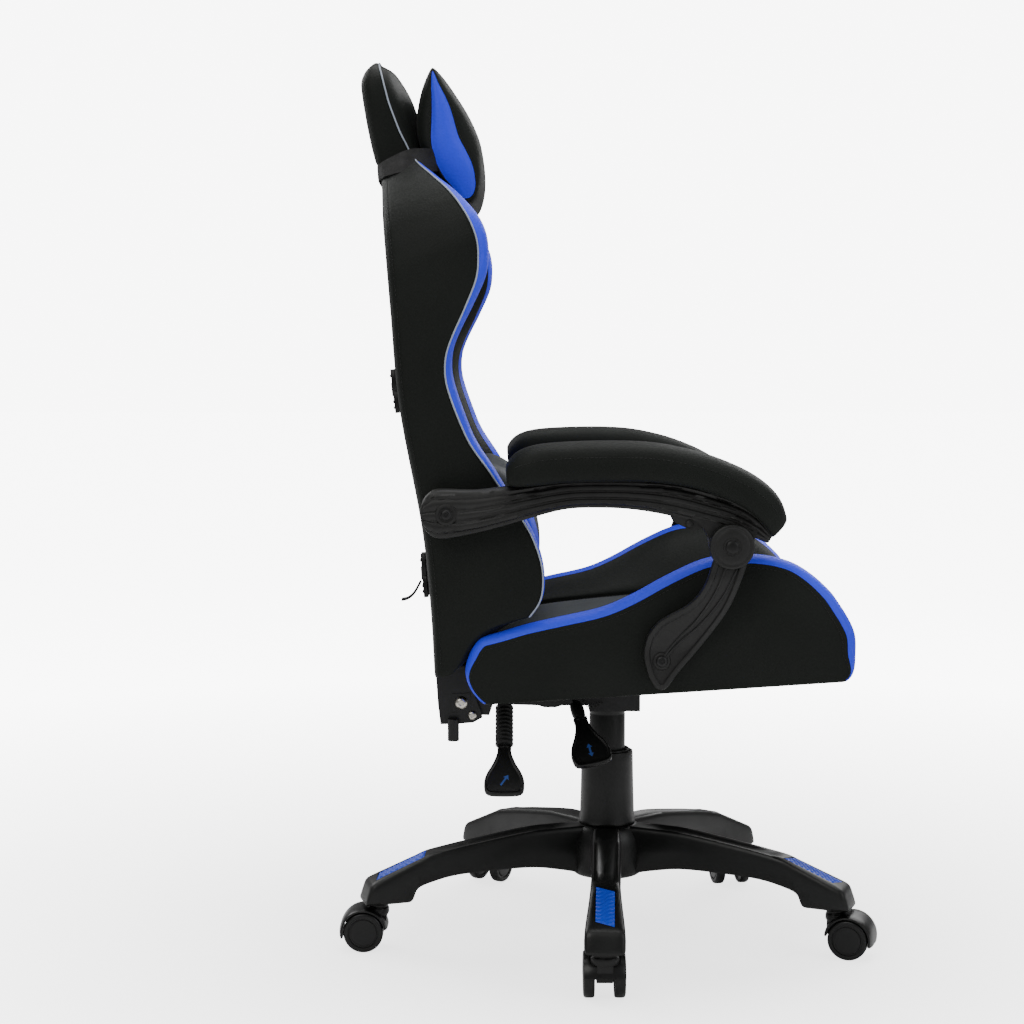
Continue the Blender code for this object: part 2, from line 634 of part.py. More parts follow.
def side_strip(low, high, near, far, half_width):
    """A thin sheet along the back line, between two depths in front of it."""
    heights = [low] + [z for _, z in BACK_LINE if low < z < high] + [high]
    outline = [(back_x(z) + near, z) for z in heights]
    outline += [(back_x(z) + far, z) for z in reversed(heights)]
    return side_mesh(outline, -half_width, half_width)


def taper_shoulders(mesh, half_width):
    """Draws the corners above the shoulders in, as the wings lean in there."""
    cut_at_heights(mesh, [SHOULDER_HEIGHT])
    for vertex in mesh.vertices:
        over = max(0.0, vertex.co.z - SHOULDER_HEIGHT)
        vertex.co.y = math.copysign(half_width - SHOULDER_SLOPE * over, vertex.co.y)


def frame_route():
    """Path of the tube: up one side, across at the neck and down the other."""
    side = [(height, FRAME_HALF_WIDTH) for height in (0.370, 0.447, 0.544, 0.684, 0.797, 0.845)]
    side += [(0.8850, 0.1690), (0.9150, 0.1450), (0.9320, 0.1100)]
    points = [(back_x(z) + FRAME_DEPTH, -y, z) for z, y in side]
    return points + [(x, -y, z) for x, y, z in reversed(points)]


def build_wing(side, sign, recline, at):
    outline = list(BACK_LINE[:-1]) + list(WING_FRONT) + list(WING_BOTTOM)
    mesh = side_mesh(outline, sign * WING_INNER, sign * WING_OUTER)
    cut_at_heights(mesh, [SHOULDER_HEIGHT])
    for vertex in mesh.vertices:
        vertex.co.y -= sign * SHOULDER_SLOPE * max(0.0, vertex.co.z - SHOULDER_HEIGHT)
    wing = new_part(f"backrest_wing_{side}", mesh, "black_leather", recline, at, bevel=0.005)
    x, z = ARM_REAR_PIVOT
    boolean(wing, "DIFFERENCE", "bolt_hole",
            cylinder_mesh(BOLT_RADIUS + 0.0005, (x, sign * 0.15, z), (x, sign * 0.29, z), 16))


def build_recline_plate(side, sign, recline, at):
    """The backrest's plate at the recline hinge, with the lug below it."""
    plate = new_part(f"recline_plate_{side}",
                     side_mesh(PLATE_OUTLINE, sign * PLATE_INNER, sign * PLATE_OUTER),
                     "black_steel", recline, at)
    lug = side_mesh(LUG_OUTLINE, sign * (PLATE_INNER + 0.0005), sign * (PLATE_OUTER + 0.0085))
    boolean(plate, "UNION", "lug", lug)
    x, z = RECLINE_PIVOT
    boolean(plate, "DIFFERENCE", "hole",
            cylinder_mesh(BOLT_RADIUS + GAP, (x, sign * 0.17, z), (x, sign * 0.22, z), 16))


def build_soft_extras(recline, at):
    """The head pillow on its strap, and the lumbar pillow with its strap and buckle."""
    new_part("head_pillow", side_mesh(HEAD_PILLOW_OUTLINE, -HEAD_PILLOW_HALF_WIDTH, HEAD_PILLOW_HALF_WIDTH),
             "black_leather", recline, at, bevel=0.008)
    new_part("lumbar_pillow", side_mesh(LUMBAR_OUTLINE, -LUMBAR_HALF_WIDTH, LUMBAR_HALF_WIDTH),
             "grey_leather", recline, at, bevel=0.010)
    rear, front, half = -0.2960, -0.2330, NECK_HALF_WIDTH + 0.0045
    loops = []
    for grow in (STRAP_THICKNESS, 0.0):
        loops.append([(rear - grow, -half + 0.01), (rear + 0.01, -half - grow), (front, -half - grow),
                      (front + grow, -half + 0.004), (front + grow, half - 0.004), (front, half + grow),
                      (rear + 0.01, half + grow), (rear - grow, half - 0.01)])
    strap = outline_mesh(loops, STRAP_HIGH - STRAP_LOW)
    strap.transform(Matrix.Translation((0, 0, (STRAP_LOW + STRAP_HIGH) / 2)))
    new_part("head_strap", strap, "black_webbing", recline, at)
    new_part("lumbar_strap", side_strip(0.4200, 0.7450, -0.0022, -0.0006, WEBBING_HALF_WIDTH),
             "black_webbing", recline, at)
    buckle_height, half_height = 0.7250, 0.0190
    back = back_x(buckle_height)
    new_part("lumbar_buckle", box_mesh((back - 0.0085, -0.0170, buckle_height - half_height),
                                       (back - 0.0040, 0.0170, buckle_height + half_height)),
             "black_plastic", recline, at, bevel=0.0015)


def build_arm(side, sign, recline, recline_at):
    x, z = ARM_REAR_PIVOT
    arm_at = Vector((x, 0, z))
    pivot = new_pivot(f"arm_{side}_pivot", arm_at - Vector(recline_at), recline)
    outline = list(ARM_TOP_EDGE) + list(ARM_LOWER_EDGE)
    frame = new_part(f"arm_frame_{side}", side_mesh(outline, sign * ARM_INNER, sign * ARM_OUTER),
                     "black_plastic", pivot, arm_at, bevel=0.003)
    for name, (x, z), radius in (
        ("rear_hole", ARM_REAR_PIVOT, BOLT_RADIUS), ("front_hole", ARM_FRONT_PIVOT, HUB_BOLT_RADIUS),
    ):
        hole = cylinder_mesh(radius + GAP, (x, sign * 0.24, z), (x, sign * 0.32, z), 16)
        boolean(frame, "DIFFERENCE", name, hole)
    pad_low = [(x, z + 0.0010) for x, z in reversed(ARM_TOP_EDGE[4:-1])]
    pad = side_mesh(list(ARM_PAD_TOP) + pad_low, sign * ARM_PAD_INNER, sign * ARM_PAD_OUTER)
    new_part(f"arm_pad_{side}", pad, "black_leather", pivot, arm_at, bevel=0.006)
    bolt(f"arm_rear_bolt_{side}", ARM_REAR_PIVOT, sign, ARM_OUTER + GAP, 0.2000, 0.0090, pivot, arm_at)
    cap_face = LINK_INNER + LINK_OFFSET + LINK_THICKNESS + 0.0025
    bolt(f"arm_hub_cap_{side}", ARM_FRONT_PIVOT, sign, cap_face, 0.2700, 0.0085, pivot, arm_at,
         HUB_BOLT_RADIUS, "black_plastic")


def lean_out(mesh, sign):
    """Sets the link's top outboard of its foot, with a straight lean between two heights."""
    cut_at_heights(mesh, (LINK_OFFSET_LOW, LINK_OFFSET_HIGH))
    for vertex in mesh.vertices:
        share = (vertex.co.z - LINK_OFFSET_LOW) / (LINK_OFFSET_HIGH - LINK_OFFSET_LOW)
        vertex.co.y += sign * LINK_OFFSET * min(1.0, max(0.0, share))


def build_link(side, sign, swivel, swivel_at):
    """The swinging link from the seat's side to the arm's front hub."""
    x, z = LINK_PIVOT
    link_at = Vector((x, 0, z))
    pivot = new_pivot(f"link_{side}_pivot", link_at - Vector(swivel_at), swivel)
    mesh = side_mesh(LINK_OUTLINE, sign * LINK_INNER, sign * (LINK_INNER + LINK_THICKNESS))
    lean_out(mesh, sign)
    link = new_part(f"arm_link_{side}", mesh, "black_plastic", pivot, link_at)
    hub_x, hub_z = ARM_FRONT_PIVOT
    inner = LINK_INNER + LINK_OFFSET
    hub = cylinder_mesh(HUB_RADIUS, (hub_x, sign * inner, hub_z),
                        (hub_x, sign * (inner + LINK_THICKNESS + 0.002), hub_z), 32)
    boolean(link, "UNION", "hub", hub)
    for name, (hole_x, hole_z), radius in (
        ("front_hole", ARM_FRONT_PIVOT, HUB_BOLT_RADIUS + HUB_BOLT_PLAY),
        ("foot_hole", LINK_PIVOT, BOLT_RADIUS + GAP),
    ):
        hole = cylinder_mesh(radius, (hole_x, sign * 0.24, hole_z), (hole_x, sign * 0.33, hole_z), 16)
        boolean(link, "DIFFERENCE", name, hole)
    foot_face = LINK_INNER + LINK_THICKNESS + GAP
    bolt(f"link_bolt_{side}", LINK_PIVOT, sign, foot_face, SEAT_HALF_WIDTH + 0.0010, 0.0085, pivot, link_at)


def lever_direction(lean=0.0):
    """Unit vector down a lever, leaning forward by an angle in degrees."""
    drop = math.radians(LEVER_DROP)
    down = Vector((0, -math.cos(drop), -math.sin(drop)))
    return (down + Vector((math.tan(math.radians(lean)), 0, 0))).normalized()


def paddle_mesh(start, direction):
    """The lever's flat, flared grip, hanging from a point along a direction."""
    across = Vector((1, 0, 0))
    across = (across - across.dot(direction) * direction).normalized()
    face = across.cross(direction)
    half, neck = PADDLE_WIDTH / 2, 0.0085
    outline = [(-neck, 0.0), (-neck, 0.012), (-half, 0.040)]
    outline += arc((0.010 - half, PADDLE_LENGTH - 0.010), 0.010, 180, 90, 4)
    outline += [(-x, y) for x, y in reversed(outline)]
    mesh = outline_mesh([outline], PADDLE_THICKNESS)
    turn = Matrix((across, direction, face)).transposed().to_4x4()
    mesh.transform(Matrix.Translation(start) @ turn)
    return mesh


def lever_pivot(name, x, swivel, swivel_at):
    at = Vector((x, -MECHANISM_HALF_WIDTH - 0.004, LEVER_HEIGHT))
    return new_pivot(f"{name}_pivot", at - Vector(swivel_at), swivel), at


def lever_rod_mesh(x, direction, length):
    bend = Vector((x, LEVER_BEND_Y, LEVER_HEIGHT))
    root = Vector((x, -MECHANISM_HALF_WIDTH - 0.0008, LEVER_HEIGHT))
    before, after = bend + Vector((0, 0.008, 0)), bend + direction * 0.008
    return wire_mesh([root, before, bend * 0.5 + (before + after) * 0.25, after, bend + direction * length],
                     LEVER_ROD_RADIUS), bend


def build_levers(swivel, swivel_at):
    pivot, at = lever_pivot("lift_lever", LIFT_LEVER_X, swivel, swivel_at)
    direction = lever_direction(14.0)
    rod, bend = lever_rod_mesh(LIFT_LEVER_X, direction, 0.018)
    new_part("lift_lever_rod", rod, "black_plastic", pivot, at)
    new_part("lift_lever_paddle", paddle_mesh(bend + direction * 0.0185, direction),
             "black_plastic", pivot, at, bevel=0.0015)
    pivot, at = lever_pivot("recline_lever", RECLINE_LEVER_X, swivel, swivel_at)
    direction = lever_direction()
    rod, bend = lever_rod_mesh(RECLINE_LEVER_X, direction, BOOT_END)
    new_part("recline_lever_rod", rod, "black_steel", pivot, at)
    new_part("recline_lever_paddle", paddle_mesh(bend + direction * (BOOT_END + 0.0005), direction),
             "black_plastic", pivot, at, bevel=0.0015)
    build_boot(bend, direction, pivot, at)


def build_boot(bend, direction, pivot, at):
    """The ribbed rubber boot on the recline lever's rod."""
    ribs, length = 9, BOOT_END - BOOT_START
    profile = []
    for rib in range(ribs):
        top = length * (1 - rib / ribs)
        profile += [(BOOT_RADIUS, top), (BOOT_RADIUS, top - length / ribs * 0.55),
                    (BOOT_RADIUS - 0.0015, top - length / ribs * 0.75)]
    profile += [(BOOT_RADIUS - 0.0015, 0.0), (LEVER_ROD_RADIUS + GAP, 0.0), (LEVER_ROD_RADIUS + GAP, length)]
    boot = turned_part("recline_lever_boot", profile, "black_plastic", pivot, steps=14,
                       at=bend + direction * BOOT_START - at)
    boot.rotation_euler = Vector((0, 0, 1)).rotation_difference(direction).to_euler()


def centre_on_floor(root):
    """Moves the tree so that the box of all the parts is centred on X = Y = 0 and starts at Z = 0."""
    bpy.context.view_layer.update()
    graph = bpy.context.evaluated_depsgraph_get()
    corners = []
    for obj in PARTS.objects:
        if obj.type != "MESH":
            continue
        evaluated = obj.evaluated_get(graph)
        mesh = evaluated.to_mesh()
        corners += [obj.matrix_world @ vertex.co for vertex in mesh.vertices]
        evaluated.to_mesh_clear()
    low = Vector(min(corner[axis] for corner in corners) for axis in range(3))
    high = Vector(max(corner[axis] for corner in corners) for axis in range(3))
    root.location = (-(low.x + high.x) / 2, -(low.y + high.y) / 2, -low.z)


def main():
    root = new_pivot(OBJECT_NAME, (0, 0, 0))
    build_base(root)
    for index in range(LEG_COUNT):
        build_caster(index, root)
    lift = build_column(root)
    swivel_at = Vector((0, 0, ROD_TOP))
    swivel = new_pivot("seat_swivel", (0, 0, ROD_TOP - CYLINDER_TOP), lift)
    build_seat(swivel, swivel_at)
    build_levers(swivel, swivel_at)
    recline_at = Vector((RECLINE_PIVOT[0], 0, RECLINE_PIVOT[1]))
    recline = new_pivot("recline_pivot", recline_at - swivel_at, swivel)
    build_backrest(recline, recline_at)
    build_soft_extras(recline, recline_at)
    for side, sign in SIDES.items():
        build_arm(side, sign, recline, recline_at)
        build_link(side, sign, swivel, swivel_at)
    centre_on_floor(root)


clear_scene()
PARTS = new_collection(OBJECT_NAME, hidden=False)
CUTTERS = new_collection("cutters", hidden=True)
main()
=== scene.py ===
import json
import math

import bmesh
import bpy
import numpy as np
from mathutils import Matrix, Vector
from mathutils.bvhtree import BVHTree

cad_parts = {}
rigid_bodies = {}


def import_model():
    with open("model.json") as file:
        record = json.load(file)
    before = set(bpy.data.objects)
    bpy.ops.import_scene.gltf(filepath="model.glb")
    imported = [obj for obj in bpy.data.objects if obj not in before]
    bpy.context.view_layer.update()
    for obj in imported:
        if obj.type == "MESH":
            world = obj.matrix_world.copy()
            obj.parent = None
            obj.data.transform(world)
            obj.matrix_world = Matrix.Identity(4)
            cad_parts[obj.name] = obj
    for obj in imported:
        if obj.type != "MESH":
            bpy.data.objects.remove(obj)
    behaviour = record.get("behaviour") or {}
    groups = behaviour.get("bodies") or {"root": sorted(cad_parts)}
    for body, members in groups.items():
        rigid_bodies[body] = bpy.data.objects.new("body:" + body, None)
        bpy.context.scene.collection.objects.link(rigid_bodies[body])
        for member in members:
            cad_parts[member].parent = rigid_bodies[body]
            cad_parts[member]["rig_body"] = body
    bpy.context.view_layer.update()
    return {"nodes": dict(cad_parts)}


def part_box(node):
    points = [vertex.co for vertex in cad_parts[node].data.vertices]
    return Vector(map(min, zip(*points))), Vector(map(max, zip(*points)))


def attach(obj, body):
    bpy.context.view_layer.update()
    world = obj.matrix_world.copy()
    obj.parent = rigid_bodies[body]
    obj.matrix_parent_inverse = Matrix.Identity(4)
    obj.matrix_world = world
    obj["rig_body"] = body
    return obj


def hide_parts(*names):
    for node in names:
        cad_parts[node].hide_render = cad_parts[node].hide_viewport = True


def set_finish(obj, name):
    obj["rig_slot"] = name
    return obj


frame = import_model()
NODES = frame["nodes"]

# Every shape below is drawn in chair coordinates: the column on X = Y = 0, +Z up, +X forward,
# the chair's right side at -Y. COLUMN moves it to the frame's coordinates.
low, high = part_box("piston_rod")
COLUMN = np.array(((low.x + high.x) / 2, (low.y + high.y) / 2, 0.0))


# ---------------------------------------------------------------- materials


class Shader:
    """A material's nodes. A socket given as a value is set, and one given as an output is linked."""

    def __init__(self, name):
        self.material = bpy.data.materials.new(name)
        self.material.use_nodes = True
        self.tree = self.material.node_tree
        self.bsdf = self.tree.nodes["Principled BSDF"]
        self.place = self.add("ShaderNodeTexCoord").outputs["Object"]

    def add(self, kind, settings=None, **sockets):
        node = self.tree.nodes.new("ShaderNode" + kind.replace("ShaderNode", ""))
        for key, value in (settings or {}).items():
            setattr(node, key, value)
        self.fill(node, sockets)
        return node

    def fill(self, node, sockets):
        for key, value in sockets.items():
            socket = node.inputs[int(key[1:])] if key[1:].isdigit() else node.inputs[key.replace("_", " ")]
            if isinstance(value, bpy.types.NodeSocket):
                self.tree.links.new(value, socket)
            else:
                socket.default_value = value

    def noise(self, scale, detail=3.0, distortion=0.0, place=None):
        return self.add("TexNoise", Vector=place or self.place, Scale=scale, Detail=detail,
                        Distortion=distortion).outputs["Fac"]

    def stretched(self, scale):
        return self.add("Mapping", Vector=self.place, Scale=scale).outputs["Vector"]

    def ramp(self, value, low, high, to_low=0.0, to_high=1.0):
        return self.add("MapRange", Value=value, From_Min=low, From_Max=high, To_Min=to_low,
                        To_Max=to_high).outputs["Result"]

    def mix(self, share, one, other):
        node = self.add("Mix", {"data_type": "RGBA"}, Factor=share)
        for socket, value in ((node.inputs[6], one), (node.inputs[7], other)):
            if isinstance(value, bpy.types.NodeSocket):
                self.tree.links.new(value, socket)
            else:
                socket.default_value = (*value, 1.0) if len(value) == 3 else value
        return node.outputs[2]

    def maths(self, operation, one, other=0.0):
        return self.add("Math", {"operation": operation}, _0=one, _1=other).outputs[0]

    def bump(self, height, distance, under=None):
        node = self.add("Bump", Height=height, Strength=1.0, Distance=distance)
        if under is not None:
            self.tree.links.new(under, node.inputs["Normal"])
        return node.outputs["Normal"]

    def worn(self, colour, lighter, share):
        """The colour, lighter along edges that stand out."""
        edge = self.add("NewGeometry").outputs["Pointiness"]
        amount = self.maths("MULTIPLY", self.ramp(edge, 0.515, 0.60), share)
        amount = self.maths("MULTIPLY", amount, self.ramp(self.noise(60.0), 0.35, 0.65))
        return self.mix(amount, colour, lighter)


def scaled(colour, factor):
    return tuple(min(1.0, c * factor) for c in colour)


def leather(name, colour, roughness=0.42, specular=0.34, creases=0.0007, grain=520.0):
    """Faux leather: pebbled grain, soft creases and uneven gloss."""
    s = Shader(name)
    patches = s.ramp(s.noise(9.0, 4.0), 0.3, 0.7)
    tint = s.mix(patches, scaled(colour, 0.86), scaled(colour, 1.14))
    tint = s.worn(tint, scaled(colour, 1.9), 0.35)
    cells = s.add("TexVoronoi", {"feature": "SMOOTH_F1"}, Vector=s.place, Scale=grain, Smoothness=0.35)
    pits = s.ramp(cells.outputs["Distance"], 0.0, 0.75)
    soft = s.bump(s.noise(26.0, 5.0, 0.8), creases)
    normal = s.bump(s.noise(1900.0, 2.0), 0.00005, s.bump(pits, 0.00020, soft))
    gloss = s.maths("ADD", s.ramp(s.noise(14.0, 3.0), 0.3, 0.7, roughness - 0.05, roughness + 0.06),
                    s.ramp(pits, 0.0, 1.0, 0.0, 0.06))
    s.fill(s.bsdf, {"Base_Color": tint, "Roughness": gloss, "Normal": normal})
    s.bsdf.inputs["Sheen Weight"].default_value = 0.02
    s.bsdf.inputs["Sheen Roughness"].default_value = 0.4
    s.bsdf.inputs["Specular IOR Level"].default_value = specular
    return s.material


def plastic(name, colour, roughness=0.40, texture=900.0, depth=0.00006, wear=0.3):
    """Moulded plastic with a fine spark-eroded texture and flow marks."""
    s = Shader(name)
    tint = s.mix(s.ramp(s.noise(12.0, 4.0), 0.35, 0.65), scaled(colour, 0.88), scaled(colour, 1.12))
    tint = s.worn(tint, scaled(colour, 2.4), wear)
    gloss = s.ramp(s.noise(22.0, 5.0), 0.3, 0.7, roughness - 0.05, roughness + 0.07)
    normal = s.bump(s.noise(texture, 3.0), depth, s.bump(s.noise(30.0, 2.0), 0.00012))
    s.fill(s.bsdf, {"Base_Color": tint, "Roughness": gloss, "Normal": normal})
    s.bsdf.inputs["Specular IOR Level"].default_value = 0.36
    return s.material


def metal(name, colour, roughness, metallic, grain=(1.0, 1.0, 1.0), depth=0.00003):
    s = Shader(name)
    lines = s.noise(700.0, 3.0, 0.0, s.stretched(grain))
    tint = s.mix(s.ramp(s.noise(40.0, 4.0), 0.35, 0.7), scaled(colour, 0.86), scaled(colour, 1.10))
    tint = s.worn(tint, scaled(colour, 1.6), 0.4)
    gloss = s.ramp(lines, 0.3, 0.7, roughness - 0.05, roughness + 0.08)
    s.fill(s.bsdf, {"Base_Color": tint, "Roughness": gloss, "Normal": s.bump(lines, depth)})
    s.bsdf.inputs["Metallic"].default_value = metallic
    return s.material


def webbing(name, colour, pitch=0.0016):
    """Woven band: threads crossing over and under."""
    s = Shader(name)
    parts = s.add("SeparateXYZ", Vector=s.place)
    around = 2 * math.pi / pitch
    turns = []
    for axis, other in ((0, 2), (1, 2)):
        one = s.maths("SINE", s.maths("MULTIPLY", parts.outputs[axis], around))
        two = s.maths("SINE", s.maths("MULTIPLY", parts.outputs[other], around))
        turns.append(s.maths("MULTIPLY", one, two))
    weave = s.ramp(s.maths("ADD", turns[0], turns[1]), -1.2, 1.2)
    tint = s.mix(weave, scaled(colour, 0.6), scaled(colour, 1.5))
    normal = s.bump(weave, 0.0003, s.bump(s.noise(900.0, 2.0), 0.0001))
    s.fill(s.bsdf, {"Base_Color": tint, "Roughness": s.ramp(s.noise(80.0), 0.3, 0.7, 0.75, 0.95),
                    "Normal": normal})
    s.bsdf.inputs["Sheen Weight"].default_value = 0.04
    return s.material


BLACK = leather("black_leather", (0.0105, 0.0122, 0.0105), roughness=0.50, specular=0.12)
BLUE = leather("blue_leather", (0.028, 0.050, 1.0), roughness=0.44)
GREY = leather("grey_leather", (0.031, 0.037, 0.042), roughness=0.50, specular=0.28)
PIPING = plastic("silver_piping", (0.38, 0.43, 0.52), 0.36, texture=1500.0, wear=0.1)
THREAD = webbing("black_thread", (0.009, 0.0095, 0.009), pitch=0.0008)
BLACK_PLASTIC = plastic("black_plastic", (0.0040, 0.0043, 0.0042), 0.34)
TEXTURED_PLASTIC = plastic("textured_plastic", (0.0110, 0.0112, 0.0108), 0.46, texture=620.0, depth=0.00012)
BLUE_PLASTIC = plastic("blue_plastic", (0.010, 0.055, 0.62), 0.38)
GLOSS_PLASTIC = plastic("caster_nylon", (0.0042, 0.0043, 0.0042), 0.30, texture=1400.0, depth=0.00003)
BLACK_STEEL = metal("black_steel", (0.0060, 0.0062, 0.0066), 0.40, 0.2, depth=0.00006)
BRIGHT_STEEL = metal("bright_steel", (0.66, 0.63, 0.57), 0.24, 1.0)
WEBBING = webbing("black_webbing", (0.0016, 0.0017, 0.0016))
SATIN_PLASTIC = plastic("satin_plastic", (0.0050, 0.0053, 0.0050), 0.36, texture=1100.0, depth=0.000008)
RUBBER = plastic("black_rubber", (0.0055, 0.0056, 0.0055), 0.62, texture=500.0, depth=0.00010)
DUST_CLOTH = webbing("dust_cloth", (0.0060, 0.0060, 0.0060), pitch=0.0012)
PRINT = plastic("icon_print", (0.020, 0.060, 0.24), 0.5)

SLOT_MATERIALS = {
    "black_leather": BLACK, "blue_leather": BLUE, "grey_leather": GREY, "black_plastic": BLACK_PLASTIC,
    "blue_plastic": BLUE_PLASTIC, "black_steel": BLACK_STEEL, "bright_steel": BRIGHT_STEEL,
    "black_webbing": WEBBING, "black_tyre": GLOSS_PLASTIC, "plywood": DUST_CLOTH,
}


# ---------------------------------------------------------------- mesh helpers


def spline(points, count, closed=False, fine=14):
    """Evenly spaced points along a smooth curve through the given ones."""
    p = np.array(points, float)
    ends = (p[-1:], p[:2]) if closed else (2 * p[:1] - p[1:2], 2 * p[-1:] - p[-2:-1])
    q = np.vstack([ends[0], p, ends[1]])
    t = np.linspace(0, 1, fine, endpoint=False)[:, None]
    parts = []
    for a, b, c, d in zip(q, q[1:], q[2:], q[3:]):
        curve = 2 * b + (c - a) * t + (2 * a - 5 * b + 4 * c - d) * t**2 + (3 * b - a - 3 * c + d) * t**3
        parts.append(0.5 * curve)
    dense = np.vstack(parts + [p[:1] if closed else p[-1:]])
    return evenly(dense, count, closed)


def evenly(points, count, closed=False):
    """Points at even steps along a polyline. A closed one comes with its first point again at the end."""
    p = np.array(points, float)
    along = np.concatenate([[0], np.cumsum(np.linalg.norm(np.diff(p, axis=0), axis=1))])
    at = np.linspace(0, along[-1], count + 1 if closed else count)
    at = at[:-1] if closed else at
    return np.stack([np.interp(at, along, p[:, k]) for k in range(p.shape[1])], 1)


def four_sides(sides, counts):
    """A closed ring from four curves end to end, with a number of steps on each."""
    return np.vstack([spline(side, count + 1)[:-1] for side, count in zip(sides, counts)])


def inset(ring, distance, smooth=2):
    """A closed flat ring moved inwards."""
    along = np.roll(ring, -1, 0) - np.roll(ring, 1, 0)
    for _ in range(smooth):
        along = (np.roll(along, 1, 0) + along + np.roll(along, -1, 0)) / 3
    normal = np.stack([-along[:, 1], along[:, 0]], 1)
    normal /= np.linalg.norm(normal, axis=1)[:, None]
    x, y = ring[:, 0], ring[:, 1]
    area = np.sum(x * np.roll(y, -1) - np.roll(x, -1) * y)
    return ring + np.reshape(distance, (-1, 1)) * normal * np.sign(area)


def coons(ring, a, b):
    """The (a + 1) x (b + 1) grid that a ring of 2 (a + b) points spans."""
    bottom, right = ring[: a + 1], ring[a : a + b + 1]
    top = ring[a + b : 2 * a + b + 1][::-1]
    left = np.vstack([ring[2 * a + b :], ring[:1]])[::-1]
    u = np.linspace(0, 1, a + 1)[:, None, None]
    v = np.linspace(0, 1, b + 1)[None, :, None]
    edges = (1 - v) * bottom[:, None] + v * top[:, None] + (1 - u) * left[None] + u * right[None]
    corners = (1 - u) * (1 - v) * bottom[0] + u * (1 - v) * bottom[-1]
    return edges - corners - (1 - u) * v * top[0] - u * v * top[-1]


class Shell:
    """A closed mesh through rings of equal length. Its ends are grids, or are zipped shut."""

    def __init__(self, rings, grid=None, caps=(None, None)):
        self.count = len(rings[0])
        self.rings = len(rings)
        self.verts = [np.array(r, float) for r in rings]
        self.faces, self.where = [], []
        n = self.count
        for i in range(self.rings - 1):
            for j in range(n):
                k = (j + 1) % n
                self.add((i * n + j, i * n + k, (i + 1) * n + k, (i + 1) * n + j), i, j)
        for end, ring, shape in ((0, 0, caps[0]), (1, self.rings - 1, caps[1])):
            if grid:
                self.grid_cap(ring * n, grid, shape, end)
            else:
                self.zip_cap(ring * n, end)
        self.verts = np.vstack(self.verts)

    def add(self, face, row, column):
        self.faces.append(face)
        self.where.append((row, column))

    def zip_cap(self, start, end):
        n = self.count
        for j in range(n // 2 - 1):
            face = (start + j, start + n - 1 - j, start + n - 2 - j, start + j + 1)
            self.add(face if end == 0 else face[::-1], -1 - end, j)

    def grid_cap(self, start, grid, shape, end):
        a, b = grid
        ring = self.verts[start // self.count]
        points = coons(ring, a, b)
        if shape:
            points = shape(points)
        index = np.zeros((a + 1, b + 1), int)
        n = self.count
        for i in range(a + 1):
            index[i, 0], index[i, b] = start + i, start + 2 * a + b - i
        for j in range(b + 1):
            index[0, j], index[a, j] = start + (n - j) % n, start + a + j
        first = sum(len(v) for v in self.verts)
        inner = points[1:-1, 1:-1].reshape(-1, 3)
        index[1:-1, 1:-1] = first + np.arange(len(inner)).reshape(a - 1, b - 1)
        self.verts.append(inner)
        for i in range(a):
            for j in range(b):
                face = (index[i, j], index[i, j + 1], index[i + 1, j + 1], index[i + 1, j])
                self.add(face if end == 0 else face[::-1], -1 - end, i * b + j)

    def ring(self, i):
        return np.arange(i * self.count, (i + 1) * self.count)

    def column(self, j):
        return np.arange(self.rings) * self.count + j


def fix_normals(mesh):
    """Turns every face outwards."""
    bm = bmesh.new()
    bm.from_mesh(mesh)
    bmesh.ops.recalc_face_normals(bm, faces=bm.faces)
    bm.to_mesh(mesh)
    bm.free()


def piece(name, verts, faces, materials, body, stands_for=(), slot=None, which=None, levels=0,
          sharp=None, bevel=0.0):
    """A new visible piece that rides on a body."""
    mesh = bpy.data.meshes.new(name)
    mesh.from_pydata((np.asarray(verts) + COLUMN).tolist(), [], [tuple(int(i) for i in f) for f in faces])
    materials = materials if isinstance(materials, (list, tuple)) else [materials]
    for material in materials:
        mesh.materials.append(material)
    if which is not None:
        mesh.polygons.foreach_set("material_index", which)
    fix_normals(mesh)
    mesh.shade_smooth()
    if sharp:
        mesh.set_sharp_from_angle(angle=math.radians(sharp))
    obj = bpy.data.objects.new(name, mesh)
    bpy.context.scene.collection.objects.link(obj)
    if levels:
        soften(obj, levels)
    if bevel:
        rounded(obj, bevel)
    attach(obj, body)
    if stands_for:
        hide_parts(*stands_for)
    if slot:
        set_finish(obj, slot)
    return obj


def soften(obj, levels=1):
    modifier = obj.modifiers.new("smooth", "SUBSURF")
    modifier.levels = modifier.render_levels = levels
    return modifier


def rounded(obj, width):
    modifier = obj.modifiers.new("rounded", "BEVEL")
    modifier.width, modifier.segments = width, 3
    modifier.limit_method, modifier.angle_limit = "ANGLE", math.radians(32)
    modifier.use_clamp_overlap = True
    modifier.harden_normals = False


def tube(path, radius, sides=8, closed=False):
    """Vertices and faces of a round tube along points."""
    path = np.array(path, float)
    along = np.gradient(path, axis=0) if not closed else np.roll(path, -1, 0) - np.roll(path, 1, 0)
    along /= np.linalg.norm(along, axis=1)[:, None]
    side = np.cross(along[0], (0.31, 0.87, 0.39))
    rings = []
    for point, ahead in zip(path, along):
        side = side - np.dot(side, ahead) * ahead
        side /= np.linalg.norm(side)
        up = np.cross(ahead, side)
        turn = np.linspace(0, 2 * math.pi, sides, endpoint=False)[:, None]
        rings.append(point + radius * (np.cos(turn) * side + np.sin(turn) * up))
    faces = []
    rows = len(rings) if closed else len(rings) - 1
    for i in range(rows):
        for j in range(sides):
            k, m = (j + 1) % sides, (i + 1) % len(rings)
            faces.append((i * sides + j, i * sides + k, m * sides + k, m * sides + j))
    if not closed:
        faces.append(tuple(range(sides))[::-1])
        faces.append(tuple((len(rings) - 1) * sides + j for j in range(sides)))
    return np.vstack(rings), faces


